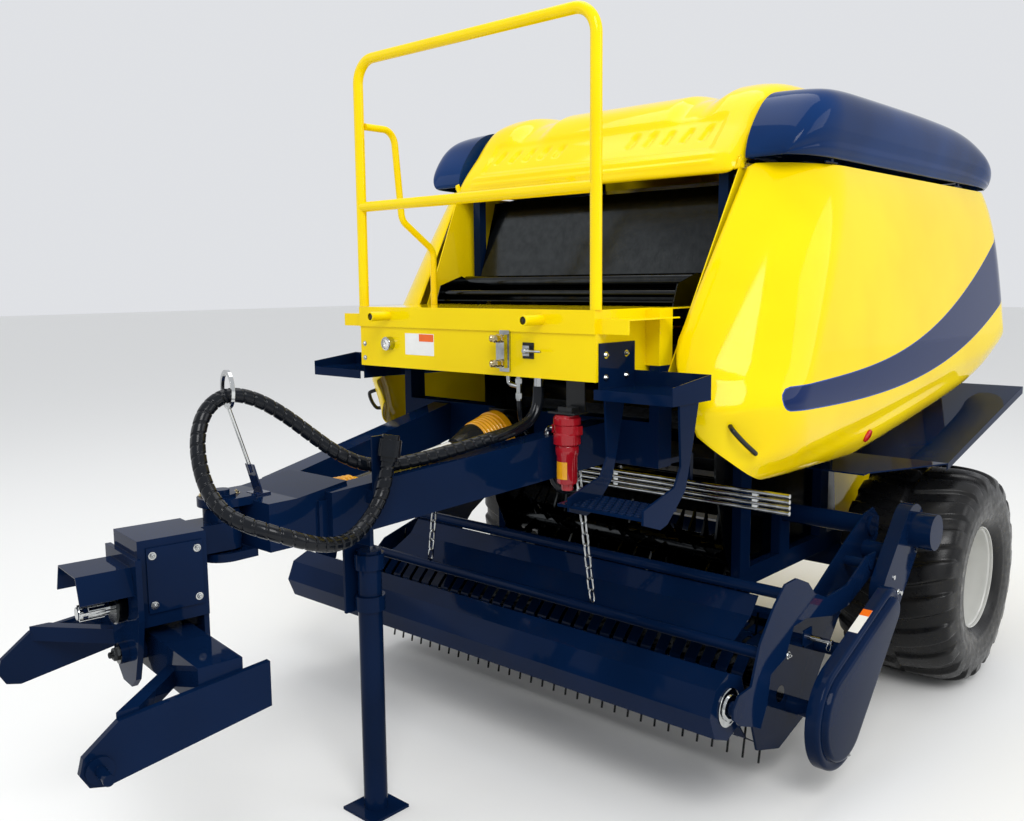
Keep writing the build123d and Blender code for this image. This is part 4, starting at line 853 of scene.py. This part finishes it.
def oil_filter():
    """Red pressure filter: a ribbed bowl under its head, with a cap nut below."""
    x, y = 0.456, -0.605
    bowl = [(0, 0.012), (0, 0.020), (0.022, 0.022), (0.024, 0.033), (0.030, 0.0355), (0.120, 0.0365),
            (0.128, 0.040), (0.150, 0.041), (0.156, 0.038), (0.162, 0.0475), (0.196, 0.0480), (0.200, 0.044),
            (0.226, 0.044), (0.230, 0.048), (0.252, 0.048), (0.258, 0.042), (0.262, 0.042), (0.266, 0.01)]
    turned_piece("filter_bowl", bowl, (x, y, 1.050), (x, y, 2.050), RED, ["filter"], 40)
    back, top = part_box("filter")[1][1:]
    bracket = [slab((0.400, -0.640, 1.3162), (0.115, 0, 0), (0, 0.080, 0), (0, 0, 0.006)),
               slab((0.428, -0.620, 1.3222), (0.060, 0, 0), (0, 0.040, 0), (0, 0, 0.016)),
               slab((0.420, back - 0.0076, 1.310), (0.080, 0, 0), (0, 0.0076, 0), (0, 0, top - 1.310))]
    piece("filter_bracket", bracket, BLACK_PLASTIC, "frame", smooth=False)
    piece("filter_ears", [slab((x - 0.058, y - 0.012, 1.246), (0.116, 0, 0), (0, 0.024, 0), (0, 0, 0.030))],
          RED, "frame", smooth=False)
    a = np.linspace(-2.2, -0.9, 14)
    band = np.stack([np.column_stack([x + 0.0369 * np.cos(a), y + 0.0369 * np.sin(a), np.full(14, z)])
                     for z in (1.092, 1.152)])
    piece("filter_label", [(band, sheet_faces(2, 14)[:, ::-1])], GUARD_YELLOW, "frame")
    elbow = [(0.407, -0.605, 1.258), (0.385, -0.605, 1.258), (0.372, -0.605, 1.255), (0.368, -0.605, 1.235),
             (0.368, -0.604, 1.20)]
    piece("filter_elbow", [tube(elbow, 0.011)], ZINC, "frame")
    drop = [(0.368, -0.604, 1.235), (0.368, -0.604, 1.18), (0.369, -0.600, 1.12), (0.385, -0.590, 1.06),
            (0.400, -0.560, 1.03), (0.400, -0.50, 1.02)]
    piece("filter_hose", [tube(drop, 0.012)], HOSE_PLASTIC, "frame")


oil_filter()


def chain(side, name):
    """Round-wire links, each a stadium loop turned a quarter from the last: loop = straight sides joined by
    half circles, carried as a tube of the wire's radius."""
    top, low = np.array((side * 0.362, -0.430, 1.097)), np.array((side * 0.432, -0.430, 0.6024))
    count, wire, width = 12, 0.0042, 0.0115
    loop_steps, wire_steps = 28, 8
    step = (low - top) / count
    length = np.linalg.norm(step)
    way = unit(step)
    half = length / 2 + wire * 0.9 - width
    a = np.arange(loop_steps) / loop_steps * TAU
    loop = np.stack([np.cos(a) * width + np.sign(np.cos(a)) * half, np.sin(a) * width], 1)
    out = np.stack([np.cos(a), np.sin(a)], 1)
    b = np.arange(wire_steps) / wire_steps * TAU
    parts = []
    for i in range(count):
        across = np.array((0, 1.0, 0)) if i % 2 else np.cross(way, (0, 1.0, 0))
        depth = np.cross(way, across)
        plane = loop[:, None, :] + out[:, None, :] * (np.cos(b) * wire)[None, :, None]
        grid = (top + step * (i + 0.5) + plane[..., :1] * way + plane[..., 1:] * across
                + (np.sin(b) * wire)[None, :, None] * depth)
        parts.append((grid, sheet_faces(loop_steps, wire_steps, True, True)))
    made = piece(name + "_links", parts, ZINC, "frame", [name])
    recalculated(made)
    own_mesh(made)


for side, hand in SIDES:
    chain(side, "chain_" + hand)


# Front panel and platform fittings

PANEL_Y = -0.634


def facing_forward(profile, x, y, z, steps=40):
    """A round fitting that faces forwards: its profile's first number is the height above the panel."""
    return turned_form(profile, (x, y, z), (x, y - 1, z), steps)


def gauge_and_label():
    """Pressure gauge, a cupped case with ten marks and a needle on its dial, and the blank label by it."""
    x, z = -0.418, 1.526
    case = [(0, 0.020), (0, 0.0268), (0.012, 0.0270), (0.0255, 0.0268), (0.0275, 0.0250), (0.0270, 0.0225),
            (0.0235, 0.0215), (0.0230, 0.002)]
    made = piece("gauge_case", [facing_forward(case, x, PANEL_Y, z)], ZINC, "frame",
                 ["gauge"], sharp_deg=40)
    recalculated(made)
    dial = facing_forward([(0.0225, 0.0215), (0.0238, 0.0215), (0.0239, 0.001)], x, PANEL_Y, z)
    piece("gauge_dial", [dial], LABEL, "frame")
    marks = []
    for a in np.radians(np.linspace(-45, 225, 10)):
        way, over = np.array((np.cos(a), 0, np.sin(a))), np.array((-np.sin(a), 0, np.cos(a)))
        base = np.array((x, PANEL_Y - 0.0240, z))
        marks.append(slab(base + way * 0.0145 - over * 0.0006, over * 0.0012, way * 0.0045, (0, -0.0004, 0)))
    way, over = np.array((-0.64, 0, 0.77)), np.array((0.77, 0, 0.64))
    marks.append(slab(np.array((x, PANEL_Y - 0.0242, z)) - way * 0.004 - over * 0.0009, over * 0.0018,
                      way * 0.019, (0, -0.0006, 0)))
    piece("gauge_marks", marks, BLACK_PLASTIC, "frame", smooth=False)
    label = slab((-0.330, PANEL_Y + 0.0002, 1.486), (0.162, 0, 0), (0, 0, 0.083), (0, -0.0008, 0))
    piece("panel_label", [label], LABEL, "frame", smooth=False)
    header = slab((-0.250, PANEL_Y - 0.0005, 1.539), (0.080, 0, 0), (0, 0, 0.028), (0, -0.0005, 0))
    piece("panel_label_header", [header], ORANGE, "frame", smooth=False)


def valves_and_switch():
    """Valve block with four couplings, and the lever switch beside it."""
    block = [slab((0.180, PANEL_Y + 0.0004, 1.448), (0.046, 0, 0), (0, 0, 0.146), (0, -0.010, 0)),
             slab((0.184, PANEL_Y - 0.010, 1.462), (0.038, 0, 0), (0, 0, 0.118), (0, -0.022, 0))]
    piece("valve_plate", block, ZINC, "frame", ["valve_block"], smooth=False)
    nozzle = [(0, 0.008), (0, 0.0150), (0.010, 0.0150), (0.012, 0.0115), (0.022, 0.0115), (0.024, 0.0135),
              (0.034, 0.0135), (0.036, 0.010), (0.038, 0.006)]
    spouts = [turned_form(nozzle, (0.192, PANEL_Y - 0.020, 1.566), (0.192 - 0.6, PANEL_Y - 0.62, 1.560), 24),
              facing_forward(nozzle, 0.208, PANEL_Y - 0.030, 1.566, 24),
              turned_form(nozzle, (0.192, PANEL_Y - 0.020, 1.477), (0.192 - 0.6, PANEL_Y - 0.62, 1.467), 24),
              facing_forward(nozzle, 0.208, PANEL_Y - 0.030, 1.480, 24)]
    piece("valve_couplings", spouts, BRONZE_ZINC, "frame", sharp_deg=35)
    plate = slab((0.284, PANEL_Y + 0.0004, 1.498), (0.050, 0, 0), (0, 0, 0.056), (0, -0.004, 0))
    piece("switch_plate", [plate], BLACK_PLASTIC, "frame", ["switch"], smooth=False)
    knob = [(0, 0.010), (0.014, 0.010), (0.016, 0.008), (0.016, 0.002)]
    lever = [slab((0.294, PANEL_Y - 0.004, 1.508), (0.030, 0, 0), (0, 0, 0.036), (0, -0.012, 0)),
             facing_forward(knob, 0.310, PANEL_Y - 0.014, 1.526, 24),
             rod((0.310, PANEL_Y - 0.026, 1.526), (0.392, PANEL_Y - 0.034, 1.527), 0.0045)]
    piece("switch_lever", lever, ZINC, "frame", sharp_deg=35)


def panel_fittings():
    """Open socket ends, elbows, a hose and bolts on and round the front panel, with painted shade in the bores.
    """
    lip = [(-0.004, 0.0184), (0.003, 0.0186), (0.004, 0.0180), (0.004, 0.0140), (0.0005, 0.0138),
           (0.0005, 0.013)]
    # A thin black disc just inside each socket's lip: painted shade standing in for the dark of the open bore.
    bore_shade = [(0.0002, 0.0139), (0.0008, 0.0139)]
    for name, profile, look, slot, sharp in (("socket_rims", lip, YELLOW, "yellow_paint", 35),
                                             ("socket_bore_shade", bore_shade, BLACK_PLASTIC, "black_hose", None)):
        ends = [facing_forward(profile, x, -0.730, 1.634, 32) for x in (-0.420, 0.370)]
        piece(name, ends, look, "frame", sharp_deg=sharp)
    elbows = [tube([(0.196, -0.615, 1.436), (0.196, -0.615, 1.420), (0.200, -0.615, 1.402),
                    (0.222, -0.615, 1.398), (0.250, -0.615, 1.396)], 0.0085),
              rod((0.246, -0.615, 1.432), (0.246, -0.615, 1.345), 0.0095),
              rod((0.246, -0.615, 1.372), (0.246, -0.615, 1.352), 0.0125, 6),
              rod((0.246, -0.615, 1.424), (0.246, -0.615, 1.406), 0.0135, 6)]
    piece("panel_elbows", elbows, ZINC, "frame", sharp_deg=35)
    drop = [(0.246, -0.615, 1.350), (0.246, -0.615, 1.30), (0.250, -0.600, 1.24), (0.268, -0.56, 1.20),
            (0.27, -0.50, 1.19)]
    piece("panel_hose", [tube(drop, 0.0085)], HOSE_PLASTIC, "frame")
    heads = bolts([(-0.575, PANEL_Y, 1.463), (-0.575, PANEL_Y, 1.520)], (0, -1, 0), 0.012)
    for side in (-1, 1):
        heads += bolts([(side * 0.605, y, z) for y in (-0.585, -0.470) for z in (1.445, 1.520)], (side, 0, 0),
                       0.014)
    piece("panel_bolts", heads, ZINC, "frame", sharp_deg=30)


gauge_and_label()
valves_and_switch()
panel_fittings()


TREAD_Z = 1.0499


def ladder_tread():
    """Rings pressed up round each hole of the ladder's tread, in staggered rows, with painted shade in each
    hole.
    """
    rims, hole_shades = [], []
    profile = [(0.0, 0.0125), (0.0035, 0.0105), (0.004, 0.0092), (0.0032, 0.0078), (0.0006, 0.0074)]
    for row, y in enumerate(np.linspace(-0.765, -0.622, 6)):
        for x in np.linspace(0.590, 0.862, 10) + (0.015 if row % 2 else 0):
            foot, over = (x, y, TREAD_Z), (x, y, TREAD_Z + 1)
            rims.append(turned_form(profile, foot, over, 14, ends=False))
            # A flat black disc inside each ring: painted shade standing in for the dark of the open hole.
            hole_shades.append(turned_form([(0.0, 0.0078), (0.0008, 0.0078)], foot, over, 14))
    piece("tread_rims", rims, NAVY, "frame")
    piece("tread_hole_shades", hole_shades, BLACK_PLASTIC, "frame")


ladder_tread()


# Hitch fittings, turned with the swivel head

HEAD_TURN = np.radians(-8.0)
SWIVEL_Y = -1.663
STUB_Z = 0.880


def on_head(x, y, z):
    """A point given in the hitch head's own level axes, from its swivel pin."""
    return np.array((x * np.cos(HEAD_TURN) - y * np.sin(HEAD_TURN),
                     SWIVEL_Y + x * np.sin(HEAD_TURN) + y * np.cos(HEAD_TURN), z))


def hitch_fittings():
    """Cover screws, splined stub shaft with its collar, the roll pin's nut and the swivel plate's bolts."""
    out = on_head(1, 0, 0) - on_head(0, 0, 0)
    ahead = on_head(0, -1, 0) - on_head(0, 0, 0)
    heads = []
    for side in (-1, 1):
        heads += bolts([on_head(side * 0.101, y, z) for y in (-0.246, -0.120) for z in (0.890, 1.030)],
                       side * out, 0.013)
    piece("head_cover_screws", heads, ZINC, "hitch_head", sharp_deg=30)
    tip = on_head(0, -0.4235, STUB_Z)
    shaft = [(-0.0006, 0.010), (-0.0006, 0.0165), (0.003, 0.0186), (0.012, 0.0190), (0.016, 0.0165),
             (0.024, 0.0165), (0.028, 0.0190), (0.096, 0.0192)]
    stub = [turned_form(shaft, tip, tip - ahead, 40)]
    stub += shaft_teeth(tip - ahead * 0.004, -ahead, out, np.array((0, 0, 1.0)), 0.0062, 0.066)
    piece("stub_shaft", stub, ZINC, "hitch_head", sharp_deg=30)
    ring = [(0, 0.030), (0, 0.046), (0.010, 0.050), (0.028, 0.050), (0.034, 0.046), (0.034, 0.030)]
    collar = turned_form(ring, on_head(0, -0.298, STUB_Z), on_head(0, -1.298, STUB_Z), 40)
    piece("stub_collar", [collar], DARK_STEEL, "hitch_head", sharp_deg=30)
    nut = bolt(on_head(0.0, -0.320, 0.742), ahead, 0.034)
    piece("roll_pin_nut", nut, DARK_STEEL, "hitch_yoke", sharp_deg=30)
    places = [(-0.045, -1.700, 1.1449), (0.045, -1.700, 1.1449), (0.0, -1.612, 1.1449)]
    swivel = bolts(places, (0, 0, 1), 0.014)
    piece("swivel_bolts", swivel, BRONZE_ZINC, "frame", sharp_deg=30)


hitch_fittings()


# Pickup fittings

def pickup_fittings():
    """Roller bearing flanges, side plate bolts, the parking pin with its ring, and blank labels."""
    flange = [(0, 0.020), (0, 0.062), (0.004, 0.062), (0.006, 0.058), (0.006, 0.044), (0.012, 0.042),
              (0.016, 0.034), (0.016, 0.020)]
    plate_bolts = ((-0.029, 0.650), (-0.078, 0.446), (-0.213, 0.479), (-0.290, 0.330))
    for side, hand in SIDES[::-1]:
        bearing = turned_form(flange, (side * 1.0852, -0.590, 0.444), (side * 2, -0.590, 0.444), 40)
        piece("roller_bearing_" + hand, [bearing], ZINC, "crop_roller", sharp_deg=30)
        heads = bolts([(side * 1.0302, y, z) for y, z in plate_bolts], (side, 0, 0), 0.017)
        piece("side_plate_bolts_" + hand, heads, ZINC, "pickup", sharp_deg=30)
    normal, along = np.array((0, -0.3471, 0.9378)), np.array((0, 0.9378, 0.3471))
    corner = np.array((1.2035, -0.1759, 0.4782)) + along * 0.205 + normal * 0.0002
    label = slab(corner, (0.034, 0, 0), along * 0.135, normal * 0.0008)
    piece("cover_label", [label], LABEL, "pickup", smooth=False)
    header = slab(corner + along * 0.098 + normal * 0.0006, (0.034, 0, 0), along * 0.037, normal * 0.0005)
    piece("cover_label_header", [header], ORANGE, "pickup", smooth=False)
    pin = rod((1.098, -0.082, 0.532), (1.192, -0.082, 0.532), 0.0095, 24)
    piece("parking_pin", [pin], ZINC, "pickup", sharp_deg=30)
    a = np.linspace(0, TAU, 10)
    ring = np.column_stack([1.180 + 0.003 * np.sin(3 * a), -0.082 + 0.020 * np.cos(a),
                            0.520 + 0.020 * np.sin(a)])
    piece("parking_pin_ring", [tube(ring, 0.0016, 8, 0.003)], ZINC, "pickup")
    bracket = [slab((1.0302, -0.112, 0.502), (0.074, 0, 0), (0, 0.060, 0), (0, 0, 0.006)),
               slab((1.098, -0.112, 0.502), (0.006, 0, 0), (0, 0.060, 0), (0, 0, 0.060))]
    piece("parking_bracket", bracket, NAVY, "pickup", smooth=False)
    case = [rod((1.1955, y, z), (1.2000, y, z), 0.010, 6)
            for y, z in ((0.520, 0.560), (0.440, 0.640), (0.660, 0.700))]
    piece("case_bolts", case, ZINC, "pickup", sharp_deg=30)


pickup_fittings()


REEL_AXIS, ROTOR_AXIS = (-0.130, 0.320), (0.370, 0.620)      # y and z of their shafts
SHEET_WALL = 0.003
SHEET_TURNS, SHEET_ROWS = 25, 7


def crop_sheet(name, centre, radius, start_deg, stop_deg, half_width, body):
    """A pressed sheet that follows a turning shaft's tips and closes the view through them.
    y = centre y + r cos a and z = centre z + r sin a, with x carried straight across."""
    turn = np.radians(np.linspace(start_deg, stop_deg, SHEET_TURNS))
    around = np.concatenate([turn, turn[::-1]])
    reach = np.repeat([radius, radius + SHEET_WALL], SHEET_TURNS)
    across = np.linspace(-half_width, half_width, SHEET_ROWS)[:, None]
    grid = np.stack([across + 0 * reach, centre[0] + reach * np.cos(around) + 0 * across,
                     centre[1] + reach * np.sin(around) + 0 * across], 2)
    cols = 2 * SHEET_TURNS
    ends = [(first + j, first + j + 1, first + cols - 2 - j, first + cols - 1 - j)
            for first in (0, (SHEET_ROWS - 1) * cols) for j in range(SHEET_TURNS - 1)]
    faces = sheet_faces(SHEET_ROWS, cols, close_cols=True).tolist() + ends
    recalculated(piece(name, [(grid, faces)], DARK_STEEL, body, sharp_deg=40))


crop_sheet("pickup_back_sheet", REEL_AXIS, 0.272, -36, 40, 1.0215, "pickup")
crop_sheet("rotor_pan", ROTOR_AXIS, 0.178, 215, 345, 0.598, "frame")


# Stage and light

FLOOR_HALF = 60
LAMPS = (("key", (5.0, -4.5, 6.5), (0, 0, 1.0), 3.5, 330.0),      # name, place, aim, size, power
         ("fill", (-5.5, -4.5, 4.0), (0, 0, 1.2), 4.0, 40.0),
         ("side", (7.0, 3.0, 4.0), (0, 0.5, 1.2), 4.0, 90.0),
         ("top", (-1.0, 1.0, 8.0), (0, 0.5, 0), 5.0, 150.0))


def stage_and_light():
    """Pale floor, pale world and large soft lamps in front, at the sides and above."""
    floor = bpy.data.meshes.new("floor")
    corners = [(x * FLOOR_HALF, y * FLOOR_HALF, 0) for x, y in ((-1, -1), (1, -1), (1, 1), (-1, 1))]
    floor.from_pydata(corners, [], [(0, 1, 2, 3)])
    # Matt studio paper: an even white that holds soft shadows
    paper = new_material("pale_studio_paper", Roughness=0.9, Specular_IOR_Level=0.1,
                         Base_Color=srgb("F0F0EE"))[0]
    floor.materials.append(paper)
    stage = bpy.data.objects.new("floor", floor)
    bpy.context.collection.objects.link(stage)
    bpy.context.scene.view_settings.view_transform = "Standard"
    world = bpy.data.worlds.new("studio")
    bpy.context.scene.world = world
    world.use_nodes = True
    sky = world.node_tree.nodes["Background"].inputs
    sky["Color"].default_value = srgb("F4F6FA")
    sky["Strength"].default_value = 0.82
    for name, place, aim, size, power in LAMPS:
        lamp = bpy.data.lights.new(name, "AREA")
        lamp.size = size
        lamp.energy = power
        holder = bpy.data.objects.new(name, lamp)
        bpy.context.collection.objects.link(holder)
        holder.location = place
        holder.rotation_euler = (Vector(aim) - Vector(place)).to_track_quat("-Z", "Y").to_euler()


stage_and_light()
